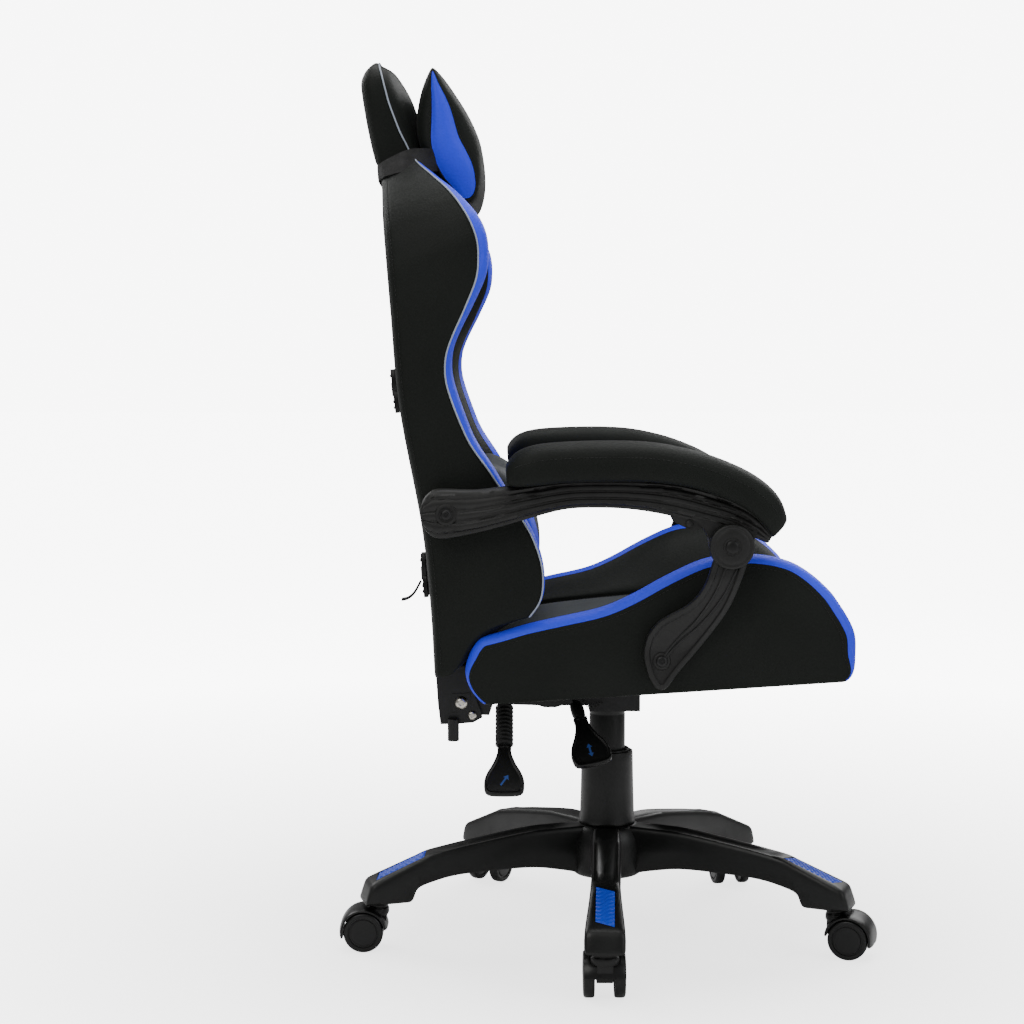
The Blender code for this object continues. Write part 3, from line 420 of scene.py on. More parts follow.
def merged(parts):
    """Several (vertices, faces) as one."""
    verts, faces, start = [], [], 0
    for v, f in parts:
        verts.append(v)
        faces += [tuple(i + start for i in face) for face in f]
        start += len(v)
    return np.vstack(verts), faces


def slab(top, low):
    """A closed sheet between two grids of points."""
    top, low = np.asarray(top, float), np.asarray(low, float)
    rows, columns = top.shape[:2]
    index, total = np.arange(rows * columns).reshape(rows, columns), rows * columns
    faces = []
    for i in range(rows - 1):
        for j in range(columns - 1):
            a, b, c, d = index[i, j], index[i, j + 1], index[i + 1, j + 1], index[i + 1, j]
            faces += [(a, b, c, d), (d + total, c + total, b + total, a + total)]
    edge = list(index[0]) + list(index[1:, -1]) + list(index[-1, -2::-1]) + list(index[-2:0:-1, 0])
    for a, b in zip(edge, edge[1:] + edge[:1]):
        faces.append((b, a, a + total, b + total))
    return np.vstack([top.reshape(-1, 3), low.reshape(-1, 3)]), faces


def lathe(profile, steps=56, closed=False, stretch=(1.0, 1.0)):
    """A turned mesh about +Z from a (radius, height) profile."""
    verts, rows, faces = [], [], []
    for radius, height in profile:
        if radius < 1e-6:
            rows.append([len(verts)])
            verts.append((0, 0, height))
            continue
        rows.append(list(range(len(verts), len(verts) + steps)))
        for k in range(steps):
            turn = 2 * math.pi * k / steps
            verts.append((radius * math.cos(turn) * stretch[0], radius * math.sin(turn) * stretch[1], height))
    pairs = list(zip(rows, rows[1:])) + ([(rows[-1], rows[0])] if closed else [])
    for one, two in pairs:
        for k in range(steps):
            m = (k + 1) % steps
            face = [one[k % len(one)], one[m % len(one)], two[m % len(two)], two[k % len(two)]]
            faces.append(tuple(dict.fromkeys(face)))
    return np.array(verts), faces


def prism(outline, inner, outer):
    """A flat plate across Y between two distances from the chair's middle, on its right side."""
    n = len(outline)
    verts = [(x, -inner, z) for x, z in outline] + [(x, -outer, z) for x, z in outline]
    faces = [tuple(range(n)), tuple(range(2 * n - 1, n - 1, -1))]
    return np.array(verts), faces + [(k, (k + 1) % n, (k + 1) % n + n, k + n) for k in range(n)]


def placed(part, matrix):
    verts, faces = part
    m = np.array(matrix)
    return np.asarray(verts) @ m[:3, :3].T + m[:3, 3], faces


def outward(x, z, y):
    """Matrix that stands a turned mesh on the right side at a distance from the middle, facing out."""
    return Matrix.Translation((x, -y, z)) @ Matrix.Rotation(math.radians(90), 4, "X")


def carved(base, steps):
    """A mesh after Booleans with other meshes."""
    made = []
    for verts, faces in [base] + [part for _, part in steps]:
        mesh = bpy.data.meshes.new("carving")
        mesh.from_pydata(np.asarray(verts).tolist(), [], [tuple(int(i) for i in f) for f in faces])
        fix_normals(mesh)
        obj = bpy.data.objects.new("carving", mesh)
        bpy.context.scene.collection.objects.link(obj)
        made.append(obj)
    for (operation, _), other in zip(steps, made[1:]):
        modifier = made[0].modifiers.new(operation, "BOOLEAN")
        modifier.operation, modifier.solver, modifier.object = operation, "MANIFOLD", other
    verts, faces = shown_mesh(made[0])
    for obj in made:
        mesh = obj.data
        bpy.data.objects.remove(obj)
        bpy.data.meshes.remove(mesh)
    return verts + COLUMN, faces


def dashes(path, length=0.0032, gap=0.0018, radius=0.00035):
    """Stitches along a path, as short round dashes."""
    total = float(np.sum(np.linalg.norm(np.diff(path, axis=0), axis=1)))
    count = max(2, int(total / (length + gap)))
    points = evenly(path, count * 3 + 1)
    parts = []
    for i in range(count):
        a, b = points[3 * i], points[3 * i + 2]
        parts.append(tube([a, a * 0.7 + b * 0.3, a * 0.3 + b * 0.7, b], radius, 5))
    return merged(parts)


def shown_mesh(obj):
    """(points in chair coordinates, faces) of a piece with its modifiers."""
    graph = bpy.context.evaluated_depsgraph_get()
    evaluated = obj.evaluated_get(graph)
    mesh = evaluated.to_mesh()
    co = np.zeros(len(mesh.vertices) * 3)
    mesh.vertices.foreach_get("co", co)
    faces = [tuple(p.vertices) for p in mesh.polygons]
    evaluated.to_mesh_clear()
    return co.reshape(-1, 3) - COLUMN, faces


def surface(obj):
    points, faces = shown_mesh(obj)
    return BVHTree.FromPolygons(points.tolist(), faces)


def laid_on(tree, points, lift):
    """Points moved to the nearest place on a surface, and off it by a height."""
    out = []
    for point in points:
        place, normal, _, _ = tree.find_nearest(Vector(point))
        out.append(place + normal * lift)
    return np.array([tuple(p) for p in out])


def mirrored(obj, name, stands_for=(), slot=None, body=None):
    """The left-hand copy of a right-hand piece."""
    mesh = obj.data.copy()
    co = np.zeros(len(mesh.vertices) * 3)
    mesh.vertices.foreach_get("co", co)
    co = co.reshape(-1, 3)
    co[:, 1] = 2 * COLUMN[1] - co[:, 1]
    mesh.vertices.foreach_set("co", co.ravel())
    mesh.flip_normals()
    copy = bpy.data.objects.new(name, mesh)
    bpy.context.scene.collection.objects.link(copy)
    for modifier in obj.modifiers:
        if modifier.type == "SUBSURF":
            soften(copy, modifier.levels)
        elif modifier.type == "BEVEL":
            rounded(copy, modifier.width)
    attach(copy, body or obj["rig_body"])
    if stands_for:
        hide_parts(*stands_for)
    if slot or "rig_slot" in obj:
        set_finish(copy, slot or obj["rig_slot"])
    return copy


SOFT = []


def stuff(obj, pins, limit):
    """Marks a padded piece for the cloth simulation. Its pinned points are its seams."""
    SOFT.append((obj, sorted(set(int(i) for i in pins)), limit))


def simulate(pressure=4.0, frames=20):
    """Swells every padded piece between its seams, and limits how far a point may move."""
    rest = []
    for obj, pins, _ in SOFT:
        group = obj.vertex_groups.new(name="seams")
        group.add(pins, 1.0, "REPLACE")
        for modifier in list(obj.modifiers):
            obj.modifiers.remove(modifier)
        cloth = obj.modifiers.new("padding", "CLOTH")
        settings = cloth.settings
        settings.vertex_group_mass = "seams"
        settings.use_pressure = True
        settings.uniform_pressure_force = pressure
        settings.effector_weights.gravity = 0.0
        settings.quality = 4
        settings.mass = 0.3
        settings.tension_stiffness = settings.compression_stiffness = 18
        settings.bending_stiffness = 3.0
        cloth.collision_settings.use_collision = False
        cloth.point_cache.frame_start, cloth.point_cache.frame_end = 1, frames
        co = np.zeros(len(obj.data.vertices) * 3)
        obj.data.vertices.foreach_get("co", co)
        rest.append(co.reshape(-1, 3))
    scene = bpy.context.scene
    for step in range(1, frames + 1):
        scene.frame_set(step)
    graph = bpy.context.evaluated_depsgraph_get()
    for (obj, _, limit), start in zip(SOFT, rest):
        mesh = obj.evaluated_get(graph).data
        co = np.zeros(len(start) * 3)
        mesh.vertices.foreach_get("co", co)
        moved = co.reshape(-1, 3) - start
        size = np.linalg.norm(moved, axis=1)[:, None] + 1e-9
        moved *= limit * np.tanh(size / limit) / size
        obj.modifiers.clear()
        obj.vertex_groups.clear()
        obj.data.vertices.foreach_set("co", (start + moved).ravel())
        obj.data.update()
    scene.frame_set(1)


# ---------------------------------------------------------------- camera, light and floor


CAMERA_AT = (-0.1228, -2.6307, 0.7322)
CAMERA_PITCH = 4.063
CAMERA_LENS = 72.43
WORLD_LIGHT = 0.24  # how bright the white surround is as it lights the chair
FLOOR_GLOW = 2.2  # what keeps the floor near the chair as pale as the backdrop
WORLD_SEEN = 8.0  # and as a plain white backdrop behind it


def studio():
    scene = bpy.context.scene
    camera = bpy.data.objects.new("camera", bpy.data.cameras.new("camera"))
    scene.collection.objects.link(camera)
    camera.data.sensor_width = 36.0
    camera.data.lens = CAMERA_LENS
    camera.location = Vector(CAMERA_AT) + Vector(COLUMN)
    camera.rotation_euler = (math.radians(90 - CAMERA_PITCH), 0, 0)
    scene.camera = camera
    target = Vector((0, 0, 0.55))
    for name, place, size, power, colour in (
        ("key", (-1.6, -2.6, 2.7), 2.0, 40, (1.0, 0.99, 0.97)),
        ("fill", (2.4, -1.8, 1.7), 1.8, 23, (0.97, 0.98, 1.0)),
        ("top", (0.1, 0.2, 3.0), 2.6, 62, (1.0, 1.0, 1.0)),
        ("rim", (-2.2, 1.6, 2.2), 1.8, 38, (1.0, 1.0, 1.0)),
        ("back", (1.6, 2.4, 2.0), 1.8, 34, (1.0, 1.0, 1.0)),
    ):
        light = bpy.data.lights.new(name, "AREA")
        light.energy, light.size, light.color = power, size, colour
        obj = bpy.data.objects.new(name, light)
        obj.location = place
        obj.rotation_euler = (target - Vector(place)).to_track_quat("-Z", "Y").to_euler()
        scene.collection.objects.link(obj)
    world = bpy.data.worlds.new("studio")
    world.use_nodes = True
    tree = world.node_tree
    seen = tree.nodes.new("ShaderNodeLightPath")
    level = tree.nodes.new("ShaderNodeMapRange")
    level.inputs["To Min"].default_value, level.inputs["To Max"].default_value = WORLD_LIGHT, WORLD_SEEN
    tree.links.new(seen.outputs["Is Camera Ray"], level.inputs["Value"])
    tree.links.new(level.outputs["Result"], tree.nodes["Background"].inputs["Strength"])
    tree.nodes["Background"].inputs["Color"].default_value = (1, 1, 1, 1)
    scene.world = world
    size = 30.0
    mesh = bpy.data.meshes.new("floor")
    mesh.from_pydata([(-size, -size, 0), (size, -size, 0), (size, size, 0), (-size, size, 0)], [], [(0, 1, 2, 3)])
    floor = bpy.data.objects.new("floor", mesh)
    floor.location.z = -0.0005
    s = Shader("pale_floor")
    apart = s.add("VectorMath", {"operation": "LENGTH"}, _0=s.place).outputs["Value"]
    glow = s.maths("MULTIPLY", s.ramp(apart, 0.25, 2.2, FLOOR_GLOW, WORLD_SEEN),
                   s.add("LightPath").outputs["Is Camera Ray"])
    s.fill(s.bsdf, {"Base_Color": s.mix(s.noise(3.0), (0.86, 0.86, 0.86), (0.90, 0.90, 0.90)),
                    "Roughness": s.ramp(s.noise(5.0), 0.3, 0.7, 0.85, 0.95), "Emission_Strength": glow})
    s.bsdf.inputs["Emission Color"].default_value = (1, 1, 1, 1)
    mesh.materials.append(s.material)
    scene.collection.objects.link(floor)


studio()


# ---------------------------------------------------------------- backrest


REAR_EDGE = (
    (-0.213, 0.363), (-0.217, 0.447), (-0.227, 0.544), (-0.253, 0.684), (-0.263, 0.797),
    (-0.269, 0.860), (-0.274, 0.905), (-0.278, 0.944), (-0.284, 0.974),
)
PIPE_EDGE = (
    (-0.101, 0.4400), (-0.089, 0.458), (-0.086, 0.480), (-0.089, 0.505), (-0.098, 0.530),
    (-0.110, 0.552), (-0.136, 0.590), (-0.149, 0.610), (-0.171, 0.641), (-0.184, 0.669),
    (-0.194, 0.695), (-0.2000, 0.718), (-0.1995, 0.743), (-0.1915, 0.767), (-0.1780, 0.797),
    (-0.1645, 0.831), (-0.1620, 0.855), (-0.1640, 0.878), (-0.1725, 0.899), (-0.1925, 0.930),
    (-0.218, 0.9565), (-0.236, 0.974), (-0.246, 0.989),
)
# How far the blue band stands ahead of the piping, by height
BAND_REACH = (
    (0.44, 0.0030), (0.50, 0.0035), (0.56, 0.0050), (0.62, 0.0080), (0.68, 0.0110), (0.74, 0.0125),
    (0.80, 0.0130), (0.86, 0.0145), (0.90, 0.0140), (0.93, 0.0085), (0.95, 0.0050), (0.99, 0.0035),
)
UNDER_EDGE = (
    (-0.213, 0.363), (-0.1900, 0.3690), (-0.1835, 0.385), (-0.1740, 0.405), (-0.1600, 0.4200),
    (-0.1300, 0.4320), (-0.101, 0.4400),
)
SIDE_WIDTH = (
    (0.36, 0.2480), (0.80, 0.2500), (0.84, 0.2485), (0.865, 0.2410), (0.89, 0.2290), (0.91, 0.2130),
    (0.93, 0.1900), (0.945, 0.1660), (0.958, 0.1420), (0.974, 0.1235),
)
PAD_DEPTH = (
    (0.36, 0.050), (0.412, 0.060), (0.440, 0.072), (0.520, 0.066), (0.620, 0.058), (0.720, 0.050),
    (0.850, 0.056), (0.920, 0.052), (0.952, 0.044), (0.974, 0.036),
)
BACK_ROWS = 84
PAD_HALF = 0.1670


def knots(table, z):
    return np.interp(z, [k[0] for k in table], [k[1] for k in table])


def back_rows():
    """Rear and front points of each row up the backrest, seen from the side."""
    rear, pipe = spline(REAR_EDGE, BACK_ROWS), spline(PIPE_EDGE, BACK_ROWS)
    ahead = pipe - rear
    ahead /= np.linalg.norm(ahead, axis=1)[:, None]
    front = pipe + ahead * knots(BAND_REACH, pipe[:, 1])[:, None]
    return rear, front, spline(UNDER_EDGE, 101)


REAR, FRONT, UNDER = back_rows()


def on_row(row, share):
    """A point on a row's chord, and near the bottom on the curve round the seat's corner."""
    point = REAR[row] + (FRONT[row] - REAR[row]) * share
    fade = max(0.0, 1 - row / 16) ** 2
    if fade > 0:
        at = min(max(share, 0.0), 1.0)
        bend = UNDER[int(round(at * 100))] - (REAR[0] + (FRONT[0] - REAR[0]) * at)
        point = point + bend * fade
    return point


# Wing columns at the rear: distance along the row, distance inboard. At the front: share of the blue
# band's reach and distance, both back from its crest, and distance inboard
WING_REAR = ((0.0012, 0.0555), (-0.0005, 0.0420), (-0.0008, 0.0240), (0.0004, 0.0100), (0.0032, 0.0028),
             (0.0075, 0.0012))
WING_SIDE = (0.03, 0.10, 0.21, 0.33, 0.45, 0.57, 0.69, 0.80, 0.90, 0.97)
WING_FRONT = ((1.00, 0.0, 0.0004), (0.62, 0.0, 0.0022), (0.20, 0.0, 0.0075), (0.0, 0.0002, 0.0150),
              (0.0, 0.0022, 0.0230), (0.0, 0.0070, 0.0310))
SEAM_AFT, PIPE, BLUE_EDGE = 5, 16, 21
INNER_STEPS = 8


def wing_row(row):
    rear, front = REAR[row], FRONT[row]
    length = float(np.linalg.norm(front - rear))
    width = float(knots(SIDE_WIDTH, rear[1]))
    points = []

    def put(distance, inboard):
        x, z = on_row(row, distance / length)
        points.append((x, width - inboard, z))

    for distance, inboard in WING_REAR:
        put(distance, inboard)
    reach = float(knots(BAND_REACH, front[1]))
    start, end = WING_REAR[-1][0], length - reach
    for share in WING_SIDE:
        put(start + (end - start) * share, -0.0035 * math.sin(math.pi * share) - 0.0005)
    for share, distance, inboard in WING_FRONT:
        put(length - reach * share - distance, inboard)
    depth = float(knots(PAD_DEPTH, rear[1]))
    pad_half = min(PAD_HALF, width - 0.045)
    a = np.array((length - WING_FRONT[-1][1], WING_FRONT[-1][2]))
    b = np.array((min(depth - 0.010, a[0] - 0.004), width - pad_half))
    for k in range(1, INNER_STEPS + 1):
        t = k / INNER_STEPS
        swell = 0.006 * math.sin(math.pi * t)
        put(*(a + (b - a) * t + np.array((swell, -swell * 0.6))))
    hidden = min(0.016, b[0] * 0.5)
    for k in (1, 2):
        put(b[0] + (hidden - b[0]) * k / 2, b[1])
    return points


def build_wing():
    rings = [wing_row(row) for row in range(BACK_ROWS)]
    rings = [np.array(r) * (1, -1, 1) for r in rings]
    if len(rings[0]) % 2:
        raise SystemExit("the wing's rows need an even number of points")
    made = Shell(rings)
    which = []
    for row, column in made.where:
        which.append(1 if row >= 0 and PIPE <= column < BLUE_EDGE else 0)
    obj = piece("backrest_wing_cover_right", made.verts, made.faces, [BLACK, BLUE], "backrest",
                ["backrest_wing_right"], "black_leather", which)
    last = len(rings[0])
    pins = []
    for column in (0, SEAM_AFT, PIPE, BLUE_EDGE, last - 3, last - 2, last - 1):
        pins += list(made.column(column))
    pins += list(made.ring(0)) + list(made.ring(BACK_ROWS - 1))
    stuff(obj, pins, 0.0055)
    return obj, made


def build_pad():
    """The centre of the backrest, with its sewn channels."""
    across, rows = 34, range(3, BACK_ROWS)
    rings = []
    for row in rows:
        width = float(knots(SIDE_WIDTH, REAR[row][1]))
        half = min(PAD_HALF, width - 0.045) - 0.0006
        length = float(np.linalg.norm(FRONT[row] - REAR[row]))
        depth = min(float(knots(PAD_DEPTH, REAR[row][1])), length - 0.010)
        ring = []
        for k in range(across + 1):
            y = -half + 2 * half * k / across
            crown = 0.006 * (1 - (y / half) ** 2)
            edge = 0.010 * (abs(y) / half) ** 10
            x, z = on_row(row, (depth - edge + crown) / length)
            ring.append((x, y, z))
        for k in range(across + 1):
            y = half - 2 * half * k / across
            x, z = on_row(row, 0.020 / length)
            ring.append((x, y, z))
        rings.append(ring)
    hem = []
    for z, back, front in ((0.3480, -0.2080, -0.1860), (0.3560, -0.2090, -0.1790), (0.3700, -0.1990, -0.1720)):
        first = np.array(rings[0])
        flat = np.where(np.arange(len(first)) <= across, front, back)
        hem.append(np.stack([flat, first[:, 1], np.full(len(first), z)], 1))
    rings = hem + rings
    made = Shell(rings)
    seams = (9, across - 9)
    which = [1 if row >= 0 and seams[0] <= column < seams[1] else 0 for row, column in made.where]
    obj = piece("backrest_pad_cover", made.verts, made.faces, [BLACK, GREY], "backrest",
                ["backrest_pad"], "grey_leather", which)
    pins = list(made.ring(0)) + list(made.ring(len(rings) - 1))
    for column in seams + (0, across) + tuple(range(across + 1, 2 * across + 2)):
        pins += list(made.column(column))
    for row in range(10, len(rings) - 12, 11):
        pins += list(row * made.count + np.arange(seams[0], seams[1] + 1))
    stuff(obj, pins, 0.007)
    return obj, made, seams


# Height, back and front of the apron's rows, from its lower edge up
APRON_HALF, APRON_CURVE = 0.150, 0.0035
APRON = (
    (0.3500, -0.2070, -0.1975), (0.3540, -0.2090, -0.1945), (0.3750, -0.2100, -0.1915), (0.4050, -0.2100, -0.1905),
    (0.4320, -0.2095, -0.1930), (0.4370, -0.2075, -0.1965),
)


def build_apron():
    """A black apron behind the lower end of the pad."""
    across, rings = np.linspace(-1.0, 1.0, 25), []
    for z, back, front in APRON:
        face = [(front - APRON_CURVE * abs(share) ** 4, APRON_HALF * share, z) for share in across]
        rings.append(face + [(back, APRON_HALF * share, z) for share in across[::-1]])
    made = Shell(rings)
    piece("backrest_apron_sewn", made.verts, made.faces, BLACK, "backrest", slot="black_leather")


def build_rear_panel():
    """The back cover between the wings, with a slight belly."""
    across, thick = 26, 0.0035
    rings = []
    for row in range(1, BACK_ROWS):
        width = float(knots(SIDE_WIDTH, REAR[row][1])) - 0.0560
        length = float(np.linalg.norm(FRONT[row] - REAR[row]))
        ring = []
        for outward in (1, -1):
            for k in range(across + 1):
                y = (-width + 2 * width * k / across) * outward
                belly = 0.0030 * (1 - (y / width) ** 4)
                distance = (0.0012 - belly) if outward > 0 else thick + 0.001
                x, z = on_row(row, distance / length)
                ring.append((x, y, z))
        rings.append(ring)
    made = Shell(rings)
    obj = piece("rear_panel_cover", made.verts, made.faces, BLACK, "backrest", ["rear_panel"], "black_leather")
    pins = list(made.ring(0)) + list(made.ring(len(rings) - 1))
    for column in (0, across) + tuple(range(across + 1, 2 * across + 2)):
        pins += list(made.column(column))
    stuff(obj, pins, 0.003)
    return obj


HEAD_SIDE = (
    (0.1190, 0.9640), (0.1175, 0.980), (0.1170, 0.9950), (0.1195, 1.013), (0.1240, 1.036), (0.1265, 1.060),
    (0.1235, 1.078), (0.1130, 1.0910),
)
HEAD_TOP = ((0.1130, 1.0910), (0.092, 1.0990), (0.055, 1.1030), (0.0, 1.1040))
HEAD_REAR_X = ((0.955, -0.280), (0.979, -0.288), (1.022, -0.297), (1.046, -0.301), (1.070, -0.3050),
               (1.087, -0.3030), (1.097, -0.2965), (1.104, -0.288))
HEAD_PIPE_X = ((0.955, -0.236), (0.9945, -0.248), (1.013, -0.258), (1.047, -0.271), (1.078, -0.279),
               (1.100, -0.285), (1.104, -0.2855))
HEAD_FRONT_X = ((0.955, -0.228), (0.9945, -0.2370), (1.020, -0.2400), (1.047, -0.2425), (1.066, -0.2495),
                (1.083, -0.2600), (1.096, -0.2710), (1.104, -0.283))


def build_head():
    """The head section: back and sides, piping, and a bulging front panel."""
    a, b = 30, 18
    side, top = spline(HEAD_SIDE, b + 1), spline(HEAD_TOP, a // 2 + 1)
    flip = np.array((-1, 1))
    bottom = np.stack([np.linspace(HEAD_SIDE[0][0], -HEAD_SIDE[0][0], a + 1), np.full(a + 1, HEAD_SIDE[0][1])], 1)
    over = np.vstack([(top * flip)[:-1], top[::-1]])
    outline = np.vstack([bottom[:-1], (side * flip)[:-1], over[:-1], side[::-1][:-1]])
    rings = []
    for grow, rear_share, lift in (
        (0.013, 0.0, 0.0), (0.005, 0.0, 0.0030), (0.0005, 0.0, 0.0100), (-0.0010, 0.5, 0.0),
        (0.0, 1.0, -0.0045), (0.0008, 1.0, 0.0), (0.0040, 1.0, 0.0045),
    ):
        flat = inset(outline, grow)
        y, z = flat[:, 0], flat[:, 1]
        rear, pipe = knots(HEAD_REAR_X, z), knots(HEAD_PIPE_X, z)
        room = np.clip((pipe - rear) / 0.03, 0.25, 1.0)
        x = rear + (pipe - rear) * rear_share + lift * room
        rings.append(np.stack([x, y, z], 1))
    half = HEAD_SIDE[5][0]

    def front(points):
        x = points[..., 0]
        share = np.clip(1 - np.abs(points[..., 1] / half) ** 3.2, 0, 1)
        reach = knots(HEAD_FRONT_X, points[..., 2])
        points[..., 0] = x + (reach - x) * share
        return points

    def rear(points):
        points[..., 0] = knots(HEAD_REAR_X, points[..., 2]) - 0.001
        return points

    made = Shell(rings, (a, b), (rear, front))
    obj = piece("head_cover", made.verts, made.faces, BLACK, "backrest", ["head_section"], "black_leather")
    stuff(obj, list(made.ring(5)) + list(made.ring(0)) + list(made.ring(0)[: a + 1]), 0.005)
    return obj, made, a, b


wing, wing_shell = build_wing()
pad, pad_shell, pad_seams = build_pad()
build_apron()
build_rear_panel()
head, head_shell, head_a, _ = build_head()


# ---------------------------------------------------------------- seat


SEAT_BOTTOM = ((-0.155, 0.337), (0.060, 0.3505), (0.267, 0.364))
SEAT_NOSE = ((0.267, 0.364), (0.2765, 0.375), (0.279, 0.399), (0.2785, 0.418), (0.274, 0.431), (0.265, 0.447),
             (0.250, 0.469))
SEAT_CREST = (
    (0.250, 0.469), (0.231, 0.487), (0.208, 0.5025), (0.184, 0.5105), (0.158, 0.514), (0.134, 0.5135),
    (0.110, 0.511), (0.088, 0.504), (0.053, 0.487), (0.016, 0.4665), (-0.019, 0.4515), (-0.067, 0.4405),
    (-0.109, 0.4310), (-0.132, 0.4240), (-0.1600, 0.4165),
)
SEAT_TAIL = ((-0.1600, 0.4165), (-0.1705, 0.4030), (-0.1778, 0.3770), (-0.1710, 0.3545), (-0.156, 0.337))
CUSHION_TOP = (
    (-0.168, 0.392), (-0.120, 0.404), (-0.060, 0.412), (0.060, 0.424), (0.180, 0.432), (0.240, 0.430),
    (0.275, 0.412),
)


def build_bolster():
    """One side of the seat: black side panel, blue band over the crest, black inner slope."""
    a, b = 56, 13
    outline = four_sides((SEAT_BOTTOM, SEAT_NOSE, SEAT_CREST, SEAT_TAIL), (a, b, a, b))
    floor = knots(CUSHION_TOP, outline[:, 0])
    rise = np.clip(outline[:, 1] - floor - 0.012, 0, None)
    under = np.clip((outline[:, 1] - 0.368) / 0.03, 0, 1)
    nose = np.clip((outline[:, 0] - 0.20) / 0.06, 0, 1) * under
    rings = []
    for y, edge, drop in (
        (0.2580, 0.0135, 0.0), (0.2585, 0.0100, 0.0), (0.2575, 0.0060, 0.0), (0.2530, 0.0020, 0.0),
        (0.2440, 0.0000, 0.0), (0.2350, 0.0008, 0.0), (0.2270, 0.0035, 0.02), (0.2170, 0.0045, 0.09),
        (0.2060, 0.0050, 0.22), (0.1955, 0.0055, 0.40), (0.1860, 0.0060, 0.60), (0.1780, 0.0060, 0.78),
        (0.1715, 0.0060, 0.92), (0.1690, 0.0080, 1.0),
    ):
        flat = inset(outline, edge * (0.35 + 0.65 * under + 0.25 * nose))
        rings.append(np.stack([flat[:, 0], np.full(len(flat), -y), flat[:, 1] - rise * drop], 1))

    def side(points):
        u = np.linspace(0, 1, a + 1)[:, None]
        v = np.linspace(0, 1, b + 1)[None, :]
        points[..., 1] -= 0.0045 * (1 - (2 * u - 1) ** 4) * (1 - (2 * v - 1) ** 4)
        return points

    made = Shell(rings, (a, b), (side, None))
    which = [1 if 1 <= row < 6 and column >= a else 0 for row, column in made.where]
    obj = piece("seat_bolster_cover_right", made.verts, made.faces, [BLACK, BLUE], "seat",
                ["seat_bolster_right"], "black_leather", which)
    pins = list(made.ring(1)) + list(made.ring(6)) + list(made.ring(len(rings) - 1))
    inner = np.arange(made.rings * made.count + (a - 1) * (b - 1), len(made.verts))
    for i in range(len(rings)):
        pins += list(made.ring(i)[: a + 1])
    stuff(obj, pins + list(inner), 0.0065)
    return obj, made, a


def build_cushion():
    """The seat's grey centre, crowned between its seams."""
    a, b, stations = 52, 6, 31
    under = ((-0.150, 0.3515), (0.060, 0.3645), (0.266, 0.3780))
    nose = ((0.266, 0.3780), (0.2745, 0.388), (0.2755, 0.402), (0.268, 0.4150))
    top = ((0.268, 0.4150), (0.255, 0.4245), (0.235, 0.4300), (0.180, 0.4325), (0.060, 0.4245), (-0.060, 0.4125),
           (-0.130, 0.4000), (-0.150, 0.392))
    tail = ((-0.150, 0.392), (-0.1630, 0.384), (-0.1650, 0.370), (-0.150, 0.3515))
    outline = four_sides((under, nose, top, tail), (a, b, a, b))
    half = 0.1672
    lift = np.clip((outline[:, 1] - knots(((-0.165, 0.366), (0.275, 0.392)), outline[:, 0])) / 0.03, 0, 1)
    rings = []
    for k in range(stations):
        y = -half + 2 * half * k / (stations - 1)
        edge = 0.010 * (abs(y) / half) ** 12
        flat = inset(outline, edge * 0.6)
        crown = 0.007 * (1 - (y / half) ** 2) - edge * 0.5
        rings.append(np.stack([flat[:, 0], np.full(len(flat), y), flat[:, 1] + crown * lift], 1))
    made = Shell(rings, (a, b))
    left, right = 4, stations - 5
    top_end = 2 * a + b
    which = [1 if left <= row < right and a <= column < top_end else 0 for row, column in made.where]
    obj = piece("seat_cushion_cover", made.verts, made.faces, [BLACK, GREY], "seat",
                ["seat_cushion"], "grey_leather", which)
    pins = []
    for i in range(stations):
        pins += list(made.ring(i)[: a + 1])
    pins += list(made.ring(0)) + list(made.ring(stations - 1)) + list(made.ring(left)) + list(made.ring(right))
    rows = (a + b + 10, a + b + 24, a + b + 38)
    for column in rows:
        pins += list(made.column(column)[left : right + 1])
    stuff(obj, pins, 0.007)
    return obj, made, (left, right), rows


bolster, bolster_shell, bolster_a = build_bolster()
cushion, cushion_shell, cushion_seams, cushion_rows = build_cushion()


# ---------------------------------------------------------------- pillows and arm pads


HEAD_PILLOW = (
    (-0.2195, 1.0960), (-0.2110, 1.0880), (-0.1985, 1.0690), (-0.1830, 1.0460), (-0.1715, 1.0250),
    (-0.1620, 1.0030), (-0.1580, 0.9780), (-0.1590, 0.9520), (-0.1665, 0.9290), (-0.1790, 0.9260),
    (-0.1950, 0.9410), (-0.2120, 0.9610), (-0.2270, 0.9820), (-0.2370, 1.0050), (-0.2385, 1.0300),
    (-0.2345, 1.0550), (-0.2285, 1.0770),
)
HEAD_GUSSET = (
    (-0.2190, 1.0890), (-0.2130, 1.0740), (-0.2050, 1.0580), (-0.1980, 1.0420), (-0.1930, 1.0250),
    (-0.1880, 1.0070), (-0.1790, 0.9910), (-0.1695, 0.9700), (-0.1680, 0.9420), (-0.1790, 0.9320),
    (-0.1930, 0.9460), (-0.2060, 0.9620), (-0.2155, 0.9800), (-0.2200, 1.0020), (-0.2190, 1.0240),
    (-0.2185, 1.0480), (-0.2195, 1.0700),
)
LUMBAR = (
    (-0.1620, 0.6200), (-0.1450, 0.6170), (-0.1270, 0.6040), (-0.1110, 0.5800), (-0.0990, 0.5520),
    (-0.0910, 0.5240), (-0.0900, 0.5020), (-0.1010, 0.4800), (-0.1310, 0.4780), (-0.1450, 0.5000),
    (-0.1560, 0.5500), (-0.1680, 0.5950),
)
LUMBAR_GUSSET = (
    (-0.1440, 0.5960), (-0.1360, 0.5900), (-0.1230, 0.5780), (-0.1120, 0.5600), (-0.1040, 0.5400),
    (-0.0990, 0.5200), (-0.0985, 0.5050), (-0.1060, 0.4930), (-0.1230, 0.4920), (-0.1330, 0.5080),
    (-0.1410, 0.5450), (-0.1460, 0.5760),
)


